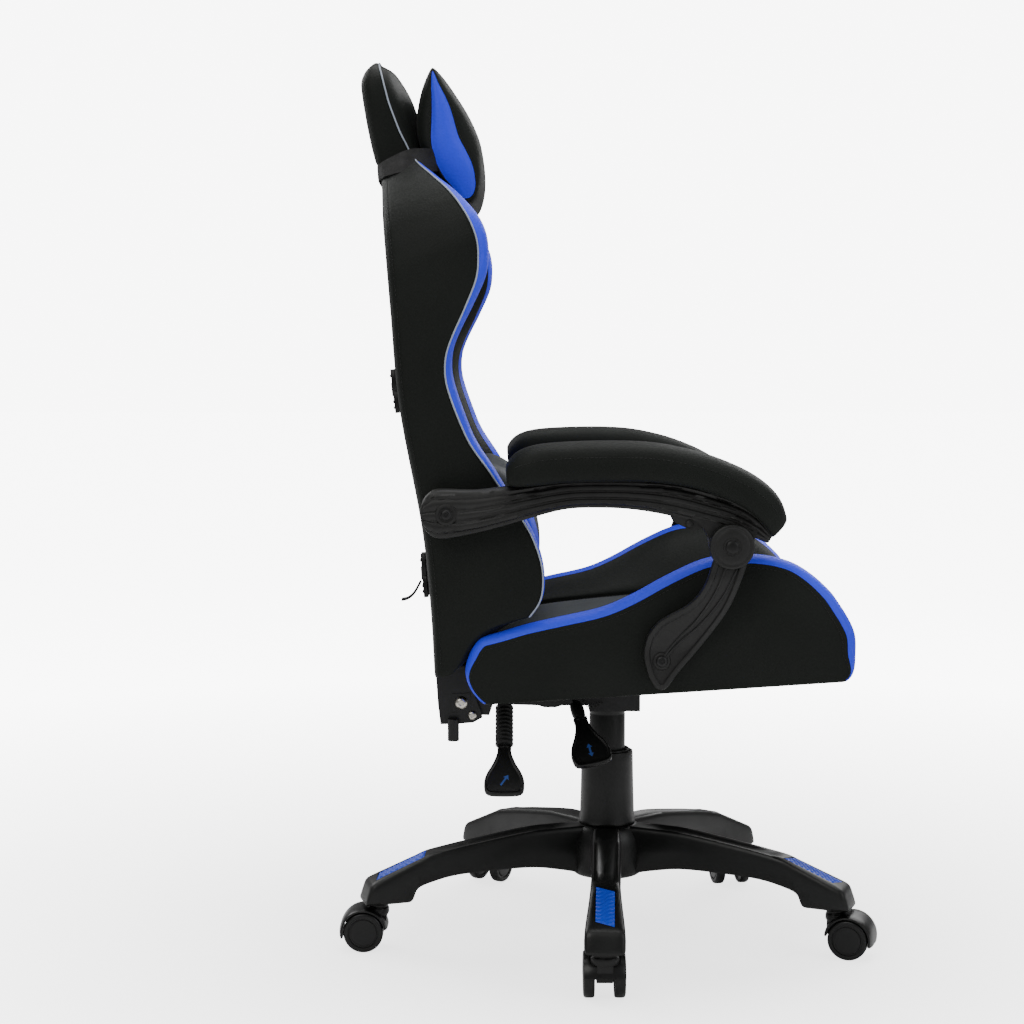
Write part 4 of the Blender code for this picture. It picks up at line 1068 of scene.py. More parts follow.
def build_pillow(outline, gusset, half, count, drop, corner):
    """A cushion with a gusset at each end. Its silhouette and gusset are closed curves that match."""
    a, b = count
    total = 2 * (a + b)
    edge, patch = spline(outline, total, True), spline(gusset, total, True)
    edge, patch = np.roll(edge, corner, 0), np.roll(patch, corner, 0)
    profile = ((0.0, 0.985), (0.30, 0.990), (0.62, 0.965), (0.86, 0.900), (0.97, 0.800), (1.0, 0.68))
    inner = [(1.0, k / 100) for k in (55, 42, 28, 14, 0)]
    steps = [(w, -y) for w, y in profile + tuple(inner)]
    steps += [(w, y) for w, y in (tuple(inner[:-1])[::-1] + profile[::-1])]
    top = outline[0][1]
    rings = []
    for w, y in steps:
        flat = patch + (edge - patch) * w
        rise = np.clip((flat[:, 1] - (top - 0.09)) / 0.09, 0, 1)
        z = flat[:, 1] - drop * rise * (1 - abs(y) ** 1.5)
        rings.append(np.stack([flat[:, 0], np.full(total, y * half), z], 1))

    def swell(sign):
        def shape(points):
            u = np.linspace(0, 1, a + 1)[:, None]
            v = np.linspace(0, 1, b + 1)[None, :]
            points[..., 1] += sign * 0.006 * np.sin(math.pi * u) ** 0.7 * np.sin(math.pi * v) ** 0.7
            return points
        return shape

    made = Shell(rings, (a, b), (swell(-1), swell(1)))
    return made, steps


def build_head_pillow():
    a, b = 18, 10
    made, steps = build_pillow(HEAD_PILLOW, HEAD_GUSSET, 0.1225, (a, b), 0.014, 22)
    which = [1 if row < 0 else 0 for row, _ in made.where]
    obj = piece("head_pillow_cover", made.verts, made.faces, [BLACK, BLUE], "backrest", ["head_pillow"],
                "black_leather", which)
    stuff(obj, list(made.ring(0)) + list(made.ring(len(steps) - 1)), 0.007)
    return obj, made, len(steps)


def build_lumbar_pillow():
    a, b = 20, 8
    made, steps = build_pillow(LUMBAR, LUMBAR_GUSSET, 0.163, (a, b), 0.010, 22)
    centres = np.array([np.mean(made.verts[list(face)], axis=0) for face in made.faces])
    lines = [(row if row < 0 else 0, column // b if row < 0 else column) for row, column in made.where]
    heights = {line: np.mean([c[2] for c, l in zip(centres, lines) if l == line]) for line in set(lines)}
    which = []
    for (row, _), line, centre in zip(made.where, lines, centres):
        low_end = heights[line] < 0.585 and (row < 0 or abs(centre[1]) > 0.125)
        which.append(1 if low_end else (0 if row < 0 and heights[line] < 0.50 else 2))
    obj = piece("lumbar_pillow_cover", made.verts, made.faces, [BLACK, BLUE, GREY], "backrest",
                ["lumbar_pillow"], "grey_leather", which)
    stuff(obj, list(made.ring(0)) + list(made.ring(len(steps) - 1)), 0.007)
    return obj, made, len(steps)


PAD_UNDER = (
    (-0.1285, 0.5965), (-0.110, 0.5950), (-0.060, 0.5998), (0.016, 0.6010), (0.065, 0.5972), (0.103, 0.5875),
    (0.140, 0.5708), (0.161, 0.5532), (0.1740, 0.5368),
)
PAD_OVER = (
    (-0.1300, 0.6210), (-0.1230, 0.6310), (-0.110, 0.6385), (-0.085, 0.6440), (-0.035, 0.6465), (0.016, 0.6465),
    (0.053, 0.6430), (0.098, 0.6325), (0.140, 0.6160), (0.166, 0.6000), (0.185, 0.5800), (0.1945, 0.5600),
)
# The arm pad's section: share of its half width, share of its height
PAD_SECTION = (
    (-0.55, 0.0), (-0.2, 0.0), (0.2, 0.0), (0.55, 0.0), (0.84, 0.015), (0.945, 0.10), (0.985, 0.24), (1.0, 0.42),
    (0.985, 0.565), (0.935, 0.70), (0.83, 0.835), (0.66, 0.93), (0.36, 0.985), (0.0, 1.0), (-0.36, 0.985),
    (-0.66, 0.93), (-0.83, 0.835), (-0.935, 0.70), (-0.985, 0.565), (-1.0, 0.42), (-0.985, 0.24), (-0.945, 0.10),
    (-0.84, 0.015), (-0.7, 0.0),
)
ARM_PAD_Y, ARM_PAD_HALF = 0.2780, 0.0365


def build_arm_pad():
    rows = 52
    low, over = spline(PAD_UNDER, rows), spline(PAD_OVER, rows)
    rings = []
    for i in range(rows):
        t = i / (rows - 1)
        end = min(t / 0.10, 1.0), min((1 - t) / 0.10, 1.0)
        shrink = 1 - math.sin((end[0] if t < 0.5 else end[1]) * math.pi / 2)
        plan = 1 - 0.30 * shrink
        tall = 1 - (0.06 if t < 0.5 else 0.12) * shrink
        up = over[i] - low[i]
        ring = []
        for across, height in PAD_SECTION:
            x, z = low[i] + up * height * tall
            ring.append((x, -ARM_PAD_Y + across * ARM_PAD_HALF * plan, z))
        rings.append(ring)
    made = Shell(rings, (6, 6))
    obj = piece("arm_pad_cover_right", made.verts, made.faces, BLACK, "arm_right", ["arm_pad_right"],
                "black_leather")
    pins = []
    for column in (0, 1, 2, 3, 4, 8, 18, 22, 23):
        pins += list(made.column(column))
    stuff(obj, pins, 0.0035)
    return obj, made


head_pillow, head_pillow_shell, head_pillow_rings = build_head_pillow()
lumbar, lumbar_shell, lumbar_rings = build_lumbar_pillow()
arm_pad, arm_pad_shell = build_arm_pad()

simulate()
for obj, _, _ in SOFT:
    if not any(m.type == "SUBSURF" for m in obj.modifiers):
        soften(obj, 1)

for side_piece, name, node in (
    (wing, "backrest_wing_cover_left", "backrest_wing_left"),
    (bolster, "seat_bolster_cover_left", "seat_bolster_left"),
):
    mirrored(side_piece, name, [node])
mirrored(arm_pad, "arm_pad_cover_left", ["arm_pad_left"], body="arm_left")


# ---------------------------------------------------------------- piping


def points_of(obj, indices):
    return np.array([obj.data.vertices[int(i)].co for i in indices]) - COLUMN


def build_piping():
    line = points_of(wing, wing_shell.column(PIPE))
    for side, sign in (("right", 1), ("left", -1)):
        path = (line + (0.0004, -0.0012, 0.0)) * (1, sign, 1)
        piece(f"wing_piping_{side}", *tube(path, 0.0011), PIPING, "backrest", slot="grey_leather", levels=1)
    ring = points_of(head, head_shell.ring(5))
    path = np.vstack([ring[head_a:], ring[:1]])
    centre = np.array((0.0, 0.0, 1.03))
    out = path - centre
    out[:, 0] = 0.004
    out /= np.linalg.norm(out, axis=1)[:, None]
    piece("head_piping", *tube(path + out * 0.0008, 0.0011), PIPING, "backrest", slot="grey_leather", levels=1)


build_piping()


# ---------------------------------------------------------------- base and column


LEG_COUNT = 5
FIRST_LEG_ANGLE = -93.0
STEM_CIRCLE = 0.300
# Leg stations: distance out, top, underside, half width
LEG_TABLE = (
    (0.024, 0.1435, 0.0790, 0.0170), (0.070, 0.1425, 0.0890, 0.0180), (0.110, 0.1400, 0.0940, 0.0185),
    (0.180, 0.1290, 0.0920, 0.0178), (0.212, 0.1232, 0.0890, 0.0180), (0.236, 0.1180, 0.0835, 0.0188),
    (0.250, 0.1122, 0.0790, 0.0197), (0.256, 0.1098, 0.0740, 0.0202), (0.2600, 0.1081, 0.0640, 0.0205),
    (0.2640, 0.1065, 0.0604, 0.0208), (0.272, 0.1031, 0.0600, 0.0215), (0.292, 0.0948, 0.0600, 0.0232),
    (0.306, 0.0890, 0.0600, 0.0240), (0.3115, 0.0862, 0.0600, 0.0240), (0.3145, 0.0825, 0.0600, 0.0237),
    (0.3180, 0.0730, 0.0600, 0.0228), (0.3205, 0.0650, 0.0602, 0.0212),
)
HUB_PROFILE = (
    (0.0340, 0.1440), (0.0375, 0.1434), (0.0402, 0.1416), (0.0427, 0.1380), (0.0452, 0.1330), (0.0476, 0.1265),
    (0.0492, 0.1180), (0.0500, 0.1060), (0.0498, 0.0950), (0.0482, 0.0870), (0.0452, 0.0815), (0.0412, 0.0786),
    (0.0370, 0.0780), (0.0194, 0.0780), (0.0194, 0.1440),
)
INSERT_HALF_LENGTH, INSERT_HALF_WIDTH, INSERT_SKEW = 0.0375, 0.0110, 0.009
RIB_PITCH, RIB_HEIGHT = 0.0062, 0.0013


def leg_section(out, top, low, half):
    """Points round a leg: two ridges with a valley that runs into the insert's raised border."""
    ridge = half * np.interp(out, (0.05, 0.225), (0.80, 0.60))
    valley = 0.0048 * np.interp(out, (0.040, 0.075, 0.190, 0.230), (0.0, 1.0, 0.85, 0.0))
    rim = 0.0010 * np.interp(out, (0.218, 0.233, 0.300, 0.314), (0.0, 1.0, 1.0, 0.0))
    tall = top - low
    side = [
        (0.55 * half, low), (0.90 * half, low + 0.0003), (half, low + min(0.003, tall * 0.2)),
        (half * 1.005, low + tall * 0.5), (half * 0.985, top - min(0.0065, tall * 0.35)),
        (half * 0.93, top - min(0.0024, tall * 0.15)), (half * 0.83, top - 0.0003), (ridge, top + rim),
        (ridge * 0.72, top + rim - valley * 0.45), (ridge * 0.40, top + rim - valley * 0.92),
    ]
    section = [(0.0, low)] + side + [(0.0, top + rim - valley)] + [(-y, z) for y, z in side[::-1]]
    return [(out, y, z) for y, z in section]


def leg_frame(index):
    return Matrix.Rotation(math.radians(FIRST_LEG_ANGLE + index * 360 / LEG_COUNT), 4, "Z")


def insert_frame():
    """Matrix to the slope near a leg's end, with +X down the slope and +Z out of it."""
    slope = Matrix.Rotation(math.atan2(0.0290, 0.0700), 4, "Y")
    return Matrix.Translation((0.271, 0, 0.1035)) @ slope


def insert_part(rows=92, columns=16):
    """The blue insert, with slanting S-shaped ribs inside a flat border."""
    top, low = np.zeros((rows + 1, columns + 1, 3)), np.zeros((rows + 1, columns + 1, 3))
    for i in range(rows + 1):
        for j in range(columns + 1):
            u, v = i / rows, 2 * j / columns - 1
            y = INSERT_HALF_WIDTH * v
            start = -INSERT_HALF_LENGTH + INSERT_SKEW * (v + 1) / 2
            x = start + u * (2 * INSERT_HALF_LENGTH - INSERT_SKEW)
            wave = 0.0016 * math.sin(math.pi * v)
            phase = 2 * math.pi * (x * 0.88 + y * 0.48 + wave) / RIB_PITCH
            rib = min(1.0, max(0.0, 0.5 + 0.9 * math.sin(phase)))
            edge = min(1.0, 30 * u * (1 - u), 5.5 * (1 - abs(v)))
            top[i, j] = (x, y, 0.0006 + RIB_HEIGHT * rib * max(0.0, edge))
            low[i, j] = (x, y, -0.0011)
    return slab(top, low)


def pocket_part():
    length, width = INSERT_HALF_LENGTH + 0.0008, INSERT_HALF_WIDTH + 0.0008
    outline = [(-length, -width), (length - INSERT_SKEW, -width), (length, width), (INSERT_SKEW - length, width)]
    verts = [(x, y, z) for z in (-0.0014, 0.008) for x, y in outline]
    faces = [(0, 1, 2, 3), (7, 6, 5, 4)] + [(k, (k + 1) % 4, (k + 1) % 4 + 4, k + 4) for k in range(4)]
    return np.array(verts), faces


def build_base():
    leg = Shell([np.array(leg_section(*station)) for station in spline(LEG_TABLE, 84)])
    steps = []
    for index in range(LEG_COUNT):
        steps.append(("UNION", placed((leg.verts, leg.faces), leg_frame(index))))
    for index in range(LEG_COUNT):
        steps.append(("DIFFERENCE", placed(pocket_part(), leg_frame(index) @ insert_frame())))
    piece("star_base_shell", *carved(lathe(HUB_PROFILE, 72, closed=True), steps), SATIN_PLASTIC, "base",
          ["star_base"], "black_plastic", sharp=38)
    for index in range(LEG_COUNT):
        name = f"leg_insert_{index + 1}"
        piece(f"{name}_ribbed", *placed(insert_part(), leg_frame(index) @ insert_frame()), BLUE_PLASTIC, "base",
              [name], "blue_plastic", sharp=50)


COLUMN_PIECES = (
    ("column_cover_low", "cover_lower", "base", (
        (0.0298, 0.2372), (0.0312, 0.2385), (0.0326, 0.2380), (0.0331, 0.2360), (0.0333, 0.2250), (0.0338, 0.2000),
        (0.0344, 0.1760), (0.0349, 0.1580), (0.0356, 0.1520), (0.0363, 0.1480), (0.0362, 0.1453), (0.0352, 0.1443),
        (0.0325, 0.1443), (0.0320, 0.1500), (0.0300, 0.2300))),
    ("column_cover_mid", "cover_middle", "cover_mid", (
        (0.0266, 0.2400), (0.0278, 0.2412), (0.0285, 0.2405), (0.0287, 0.2385), (0.0285, 0.2300), (0.0285, 0.1520),
        (0.0281, 0.1500), (0.0268, 0.1500), (0.0264, 0.1530), (0.0264, 0.2370))),
    ("column_cover_top", "cover_upper", "lift", (
        (0.0170, 0.2975), (0.0205, 0.2985), (0.0224, 0.2980), (0.0231, 0.2962), (0.0231, 0.2880), (0.0226, 0.2868),
        (0.0230, 0.2856), (0.0230, 0.1670), (0.0226, 0.1650), (0.0208, 0.1650), (0.0204, 0.1680), (0.0204, 0.2950),
        (0.0170, 0.2955))),
)


def build_column():
    for name, node, body, profile in COLUMN_PIECES:
        piece(name, *lathe(profile, 72, closed=True), SATIN_PLASTIC, body, [node], "black_plastic", sharp=45)
    rod = ((0.0, 0.3300), (0.0125, 0.3300), (0.0135, 0.3290), (0.0135, 0.1010), (0.0125, 0.1000), (0.0, 0.1000))
    piece("piston_rod_turned", *lathe(rod, 56), BRIGHT_STEEL, "lift", ["piston_rod"], "bright_steel", sharp=40)
    teeth = []
    for k in range(72):
        radius = 0.0150 + 0.0011 * ((k * 7) % 5) / 4
        teeth.append((radius, k))
    ring = [(0.0150, 0.2984), (0.0226, 0.2968), (0.0238, 0.2974), (0.0236, 0.2984), (0.0150, 0.2992)]
    verts, faces = lathe(ring, 72, closed=True)
    for radius, k in teeth:
        for level in (1, 2, 3):
            point = verts[level * 72 + k]
            point[:2] *= radius / 0.0156
    piece("rod_wiper", verts, faces, BRIGHT_STEEL, "lift", slot="bright_steel", sharp=50)


# ---------------------------------------------------------------- casters


WHEEL_RADIUS, CASTER_TRAIL, CASTER_HALF = 0.025, 0.019, 0.0245
CASTER_YAWS = (90.0, -20.0, 100.0, 60.0, 180.0)
WHEEL_PROFILE = (
    (0.0, 0.0236), (0.0050, 0.0237), (0.0150, 0.0240), (0.0166, 0.0238), (0.0171, 0.0226), (0.0186, 0.0226),
    (0.0191, 0.0240), (0.0222, 0.0245), (0.0240, 0.0237), (0.0248, 0.0221), (0.0250, 0.0200), (0.0250, 0.0150),
    (0.0246, 0.0126), (0.0235, 0.0116), (0.0195, 0.0115), (0.0185, 0.0128), (0.0060, 0.0128), (0.0050, 0.0118),
    (0.0040, 0.0116),
)
NECK_PROFILE = (
    (0.0, 0.0600), (0.0135, 0.0600), (0.0152, 0.0592), (0.0158, 0.0576), (0.0157, 0.0556), (0.0146, 0.0551),
    (0.0145, 0.0539), (0.0160, 0.0533), (0.0168, 0.0510), (0.0168, 0.0470), (0.0150, 0.0440), (0.0, 0.0440),
)
WEB_OUTLINE = (
    (-0.0095, 0.0520), (0.0100, 0.0530), (0.0290, 0.0500), (0.0380, 0.0400), (0.0400, 0.0300), (0.0360, 0.0215),
    (0.0190, 0.0195), (0.0060, 0.0200), (-0.0040, 0.0235), (-0.0095, 0.0330),
)


def hood_part(rows=40, columns=20):
    """The barrel-shaped hood, wrapped round the top of both wheels."""
    outer, inner = np.zeros((rows + 1, columns + 1, 3)), np.zeros((rows + 1, columns + 1, 3))
    for i in range(rows + 1):
        turn = math.radians(-14 + 186 * i / rows)
        for j in range(columns + 1):
            v = 2 * j / columns - 1
            for grid, radius in ((outer, 0.0306 - 0.0022 * abs(v) ** 4), (inner, 0.0262)):
                grid[i, j] = (CASTER_TRAIL + radius * math.cos(turn), CASTER_HALF * v,
                              WHEEL_RADIUS + radius * math.sin(turn))
    return slab(outer, inner)


def build_caster(index):
    name = f"caster_{index + 1}"
    stem = leg_frame(index) @ Vector((STEM_CIRCLE, 0, 0))
    frame_at = Matrix.Translation(stem) @ Matrix.Rotation(math.radians(CASTER_YAWS[index]), 4, "Z")
    web = prism(WEB_OUTLINE, -0.0094, 0.0094)
    hood = merged([hood_part(), web, lathe(NECK_PROFILE, 48, stretch=(0.74, 1.0)),
                   lathe(((0.0, 0.0640), (0.0054, 0.0640), (0.0054, 0.0560), (0.0, 0.0560)), 24)])
    piece(f"{name}_hood_moulded", *placed(hood, frame_at), GLOSS_PLASTIC, name, [f"{name}_hood"], "black_plastic",
          sharp=35, bevel=0.0007)
    half = list(WHEEL_PROFILE)
    profile = half + [(radius, -height) for radius, height in half[::-1]]
    wheels = placed(lathe(profile, 64), Matrix.Translation((CASTER_TRAIL, 0, WHEEL_RADIUS))
                    @ Matrix.Rotation(math.radians(90), 4, "X"))
    piece(f"{name}_wheels_turned", *placed(wheels, frame_at), GLOSS_PLASTIC, f"{name}_wheelset",
          [f"{name}_wheels"], "black_tyre", sharp=40)


# ---------------------------------------------------------------- arms


ARM_TOP = (
    (-0.2270, 0.5640), (-0.2255, 0.5770), (-0.2180, 0.5875), (-0.2050, 0.5925), (-0.166, 0.5914), (-0.127, 0.5955),
    (-0.060, 0.6030), (0.016, 0.6035), (0.065, 0.6005),
    (0.103, 0.5920), (0.140, 0.5775), (0.161, 0.5615), (0.1770, 0.5410),
)
ARM_LOW = (
    (-0.2270, 0.5600), (-0.2245, 0.5480), (-0.2150, 0.5380), (-0.2010, 0.5345), (-0.166, 0.5405),
    (-0.133, 0.5490), (-0.099, 0.5590), (-0.060, 0.5685), (-0.020, 0.5700),
    (0.016, 0.5680), (0.053, 0.5620), (0.090, 0.5530), (0.120, 0.5465), (0.148, 0.5380), (0.1700, 0.5290),
)
ARM_WEB = (
    (0.0820, 0.5600), (0.0950, 0.5480), (0.1020, 0.5360), (0.1050, 0.5180), (0.1150, 0.5080), (0.1270, 0.5050),
    (0.1400, 0.5080), (0.1490, 0.5160), (0.1535, 0.5330), (0.1580, 0.5440), (0.1200, 0.5680),
)
ARM_TAB = ((0.0560, 0.5660), (0.0640, 0.5530), (0.0850, 0.5430), (0.0990, 0.5500), (0.0940, 0.5640))
ARM_INNER, ARM_OUTER, RIDGE_SHARE = 0.2620, 0.2905, 0.72
ARM_REAR, ARM_FRONT, LINK_FOOT = (-0.198, 0.5625), (0.127, 0.527), (0.050, 0.392)
# The arm's outer face from its lower edge to its top one: share of the height, how far it stands out
ARM_FACE = (
    (0.00, -0.0100), (0.015, -0.0065), (0.05, -0.0055), (0.10, -0.0052), (0.135, -0.0012), (0.17, 0.0004),
    (0.23, 0.0008), (0.29, 0.0002), (0.325, -0.0020), (0.36, -0.0020), (0.40, 0.0003), (0.46, 0.0009), (0.52, 0.0003),
    (0.555, -0.0019), (0.59, -0.0019), (0.63, 0.0002), (0.69, 0.0007), (0.75, 0.0001), (0.785, -0.0018),
    (0.82, -0.0018), (0.86, -0.0004), (0.92, -0.0010), (0.97, -0.0035), (1.00, -0.0080),
)
ARM_BACK = (
    (0.97, 0.0018), (0.90, 0.0), (0.70, 0.0), (0.50, 0.0), (0.30, 0.0), (0.10, 0.0), (0.03, 0.0018), (0.0, 0.0055),
)


def arm_loft(stations=84):
    low, top = spline(ARM_LOW, stations), spline(ARM_TOP, stations)
    rings = []
    for i in range(stations):
        t = i / (stations - 1)
        depth = min(1.0, t / 0.10, (1 - t) / 0.16) ** 0.7
        thin = 0.0075 * max(0.0, (t - 0.90) / 0.10) ** 2
        ring = []
        for share, out in ARM_FACE:
            shaped = out if share < 0.135 or share > 0.9 else out * depth * RIDGE_SHARE
            x, z = low[i] + (top[i] - low[i]) * share
            ring.append((x, -(ARM_OUTER + shaped - thin), z))
        for share, inward in ARM_BACK:
            x, z = low[i] + (top[i] - low[i]) * share
            ring.append((x, -(ARM_INNER + inward + thin * 0.4), z))
        rings.append(ring)
    made = Shell(rings)
    return made.verts, made.faces


def disc(radius, thick, dome=0.0, groove=None):
    """A turned boss that stands on its back face, with rounded edges and perhaps a groove."""
    profile = [(0.0, 0.0), (radius - 0.001, 0.0), (radius, 0.001), (radius, thick - 0.0022),
               (radius - 0.0006, thick - 0.0008), (radius - 0.0022, thick)]
    if groove:
        profile += [(groove + 0.0014, thick + dome * 0.3), (groove + 0.0006, thick - 0.0014),
                    (groove - 0.0006, thick - 0.0014), (groove - 0.0014, thick + dome * 0.4)]
    return profile + [(radius * 0.3, thick + dome * 0.9), (0.0, thick + dome)]


REAR_BOSS = (
    (0.0, 0.0), (0.0118, 0.0), (0.0124, 0.0010), (0.0124, 0.0286), (0.0118, 0.0294), (0.0104, 0.0298), (0.0086, 0.0298),
    (0.0078, 0.0288), (0.0, 0.0288),
)


def bolt_head(radius, height, shank, tip):
    """A domed socket-head bolt: head outwards from its face, shank inwards."""
    return [
        (0.0, height * 0.55), (radius * 0.36, height * 0.55), (radius * 0.42, height * 0.93),
        (radius * 0.62, height * 0.88), (radius * 0.84, height * 0.60), (radius * 0.97, height * 0.22), (radius, 0.0),
        (shank, 0.0), (shank, tip), (0.0, tip),
    ]


LINK_REAR = ((0.1080, 0.5160), (0.0960, 0.4820), (0.0790, 0.4600), (0.0470, 0.4400), (0.0330, 0.4220))
LINK_TIP = ((0.0330, 0.4220), (0.0290, 0.4000), (0.0350, 0.3740), (0.0440, 0.3600))
LINK_FRONT = ((0.0440, 0.3600), (0.0540, 0.3595), (0.0710, 0.3810), (0.0990, 0.4150), (0.1260, 0.4570),
              (0.1460, 0.5120))
LINK_HEAD = ((0.1460, 0.5120), (0.1270, 0.5200), (0.1080, 0.5160))
LINK_INNER, LINK_THICK, LINK_LEAN = 0.2625, 0.0130, 0.0284


def lean(verts):
    """Sets the link's top outboard of its foot, with a smooth lean between two heights."""
    share = np.clip((verts[:, 2] - 0.407) / (0.490 - 0.407), 0, 1)
    verts = verts.copy()
    verts[:, 1] -= LINK_LEAN * (share * share * (3 - 2 * share) * 0.35 + share * 0.65)
    return verts


def build_arm():
    arm = merged([
        arm_loft(),
        placed(lathe(REAR_BOSS, 72), outward(*ARM_REAR, ARM_INNER)),
        prism(ARM_WEB, ARM_INNER + 0.0006, ARM_INNER + 0.0270),
        prism(ARM_TAB, ARM_INNER + 0.0016, ARM_INNER + 0.0225),
        placed(lathe(disc(0.0046, 0.0015, 0.0006), 24), outward(0.0800, 0.5520, ARM_INNER + 0.0225)),
    ])
    frame_piece = piece("arm_frame_moulded_right", *arm, TEXTURED_PLASTIC, "arm_right", ["arm_frame_right"],
                        "black_plastic", sharp=36, bevel=0.0008)
    rear = placed(lathe(bolt_head(0.0066, 0.0030, 0.0050, -0.0860), 40), outward(*ARM_REAR, ARM_OUTER - 0.0004))
    rear_bolt = piece("arm_rear_bolt_turned_right", *rear, BLACK_STEEL, "arm_right", ["arm_rear_bolt_right"],
                      "black_steel", sharp=35)
    face = LINK_INNER + LINK_LEAN + LINK_THICK + 0.0025
    cap = placed(lathe(((0.0, 0.0020), (0.0040, 0.0019), (0.0066, 0.0013), (0.0078, 0.0004), (0.0080, -0.0010),
                        (0.0040, -0.0010), (0.0040, -0.0360), (0.0, -0.0360)), 48), outward(*ARM_FRONT, face))
    hub_cap = piece("arm_hub_cap_turned_right", *cap, BLACK_PLASTIC, "arm_right", ["arm_hub_cap_right"],
                    "black_plastic", sharp=45)

    a, b = 34, 8
    outline = four_sides((LINK_REAR, LINK_TIP, LINK_FRONT, LINK_HEAD), (a, b, a, b))
    rings = []
    for distance, out in ((0.0012, 0.0), (0.0, 0.0012), (0.0, LINK_THICK - 0.0024), (0.0008, LINK_THICK - 0.0007),
                          (0.0024, LINK_THICK), (0.0058, LINK_THICK), (0.0068, LINK_THICK - 0.0008),
                          (0.0076, LINK_THICK - 0.0024), (0.0088, LINK_THICK - 0.0028)):
        flat = inset(outline, distance)
        rings.append(np.stack([flat[:, 0], np.full(len(flat), -(LINK_INNER + out)), flat[:, 1]], 1))
    wing_link = Shell(rings, (a, b))
    parts = [(lean(wing_link.verts), wing_link.faces)]
    for shift in (-0.0065, 0.0065):
        path = spline(((0.1270, 0.5040), (0.1120, 0.4700), (0.0920, 0.4400), (0.0680, 0.4150), (0.0500, 0.3920)), 30)
        along = np.gradient(path, axis=0)
        along /= np.linalg.norm(along, axis=1)[:, None]
        taper = np.linspace(1.0, 0.15, len(path))[:, None]
        path = path + np.stack([-along[:, 1], along[:, 0]], 1) * shift * taper
        line = np.stack([path[:, 0], np.full(len(path), -(LINK_INNER + LINK_THICK - 0.0024)), path[:, 1]], 1)
        parts.append(tube(lean(line), 0.0014, 10))
    hub_rings = [
        (0.0, 0.0), (0.0246, 0.0), (0.0256, 0.0010), (0.0256, 0.0126), (0.0251, 0.0141), (0.0238, 0.0149),
        (0.0216, 0.0151), (0.0209, 0.0147), (0.0203, 0.0147), (0.0196, 0.0152), (0.0150, 0.0155), (0.0108, 0.0155),
        (0.0102, 0.0150), (0.0097, 0.0150), (0.0092, 0.0154), (0.0070, 0.0154), (0.0, 0.0154),
    ]
    parts.append(placed(lathe(hub_rings, 72), outward(*ARM_FRONT, LINK_INNER + LINK_LEAN)))
    parts.append(placed(lathe(disc(0.0104, 0.0014, 0.0), 40), outward(*LINK_FOOT, LINK_INNER + LINK_THICK - 0.0030)))
    link = piece("arm_link_moulded_right", *merged(parts), TEXTURED_PLASTIC, "link_right", ["arm_link_right"],
                 "black_plastic", sharp=36)
    foot = placed(lathe(bolt_head(0.0070, 0.0030, 0.0046, -0.0170), 40),
                  outward(*LINK_FOOT, LINK_INNER + LINK_THICK - 0.0014))
    link_bolt = piece("link_bolt_turned_right", *foot, BLACK_STEEL, "link_right", ["link_bolt_right"],
                      "black_steel", sharp=35)
    for obj, name, node, body in (
        (frame_piece, "arm_frame_moulded_left", "arm_frame_left", "arm_left"),
        (rear_bolt, "arm_rear_bolt_turned_left", "arm_rear_bolt_left", "arm_left"),
        (hub_cap, "arm_hub_cap_turned_left", "arm_hub_cap_left", "arm_left"),
        (link, "arm_link_moulded_left", "arm_link_left", "link_left"),
        (link_bolt, "link_bolt_turned_left", "link_bolt_left", "link_left"),
    ):
        mirrored(obj, name, [node], body=body)


# ---------------------------------------------------------------- recline hinge


PLATE = ((-0.214, 0.3740), (-0.211, 0.330), (-0.208, 0.306), (-0.190, 0.3062), (-0.169, 0.3080), (-0.158, 0.3140),
         (-0.160, 0.3230), (-0.163, 0.3300), (-0.169, 0.347), (-0.176, 0.3760), (-0.186, 0.3760), (-0.196, 0.3760))
HINGE = (-0.183, 0.332)


def build_hinge():
    square = [(HINGE[0] + x, HINGE[1] + z) for x, z in ((-0.0115, -0.0115), (0.0115, -0.0105), (0.0110, 0.0120),
                                                        (-0.0120, 0.0110))]
    parts = [
        prism(PLATE, 0.1952, 0.2005), prism(square, 0.1990, 0.2013),
        placed(lathe(((0.0, 0.0265), (0.0062, 0.0265), (0.0068, 0.0258), (0.0068, 0.0006), (0.0062, 0.0), (0.0050, 0.0),
                      (0.0050, 0.0100), (0.0, 0.0100)), 40), Matrix.Translation((-0.1925, -0.2050, 0.2870))),
    ]
    plate = piece("recline_plate_pressed_right", *merged(parts), BLACK_STEEL, "backrest", ["recline_plate_right"],
                  "black_steel", sharp=34, bevel=0.0007)
    mirrored(plate, "recline_plate_pressed_left", ["recline_plate_left"])
    main = placed(lathe(bolt_head(0.0080, 0.0050, 0.0050, -0.0225), 48), outward(*HINGE, 0.2014))
    bolt = piece("recline_bolt_turned_right", *main, BRIGHT_STEEL, "seat", ["recline_bolt_right"], "bright_steel",
                 sharp=35)
    mirrored(bolt, "recline_bolt_turned_left", ["recline_bolt_left"])
    small = placed(lathe(bolt_head(0.0056, 0.0034, 0.0030, -0.0020), 40), outward(-0.1700, 0.3168, 0.2005))
    screw = piece("recline_screw_right", *small, BRIGHT_STEEL, "backrest", slot="bright_steel", sharp=35)
    mirrored(screw, "recline_screw_left")


# ---------------------------------------------------------------- levers


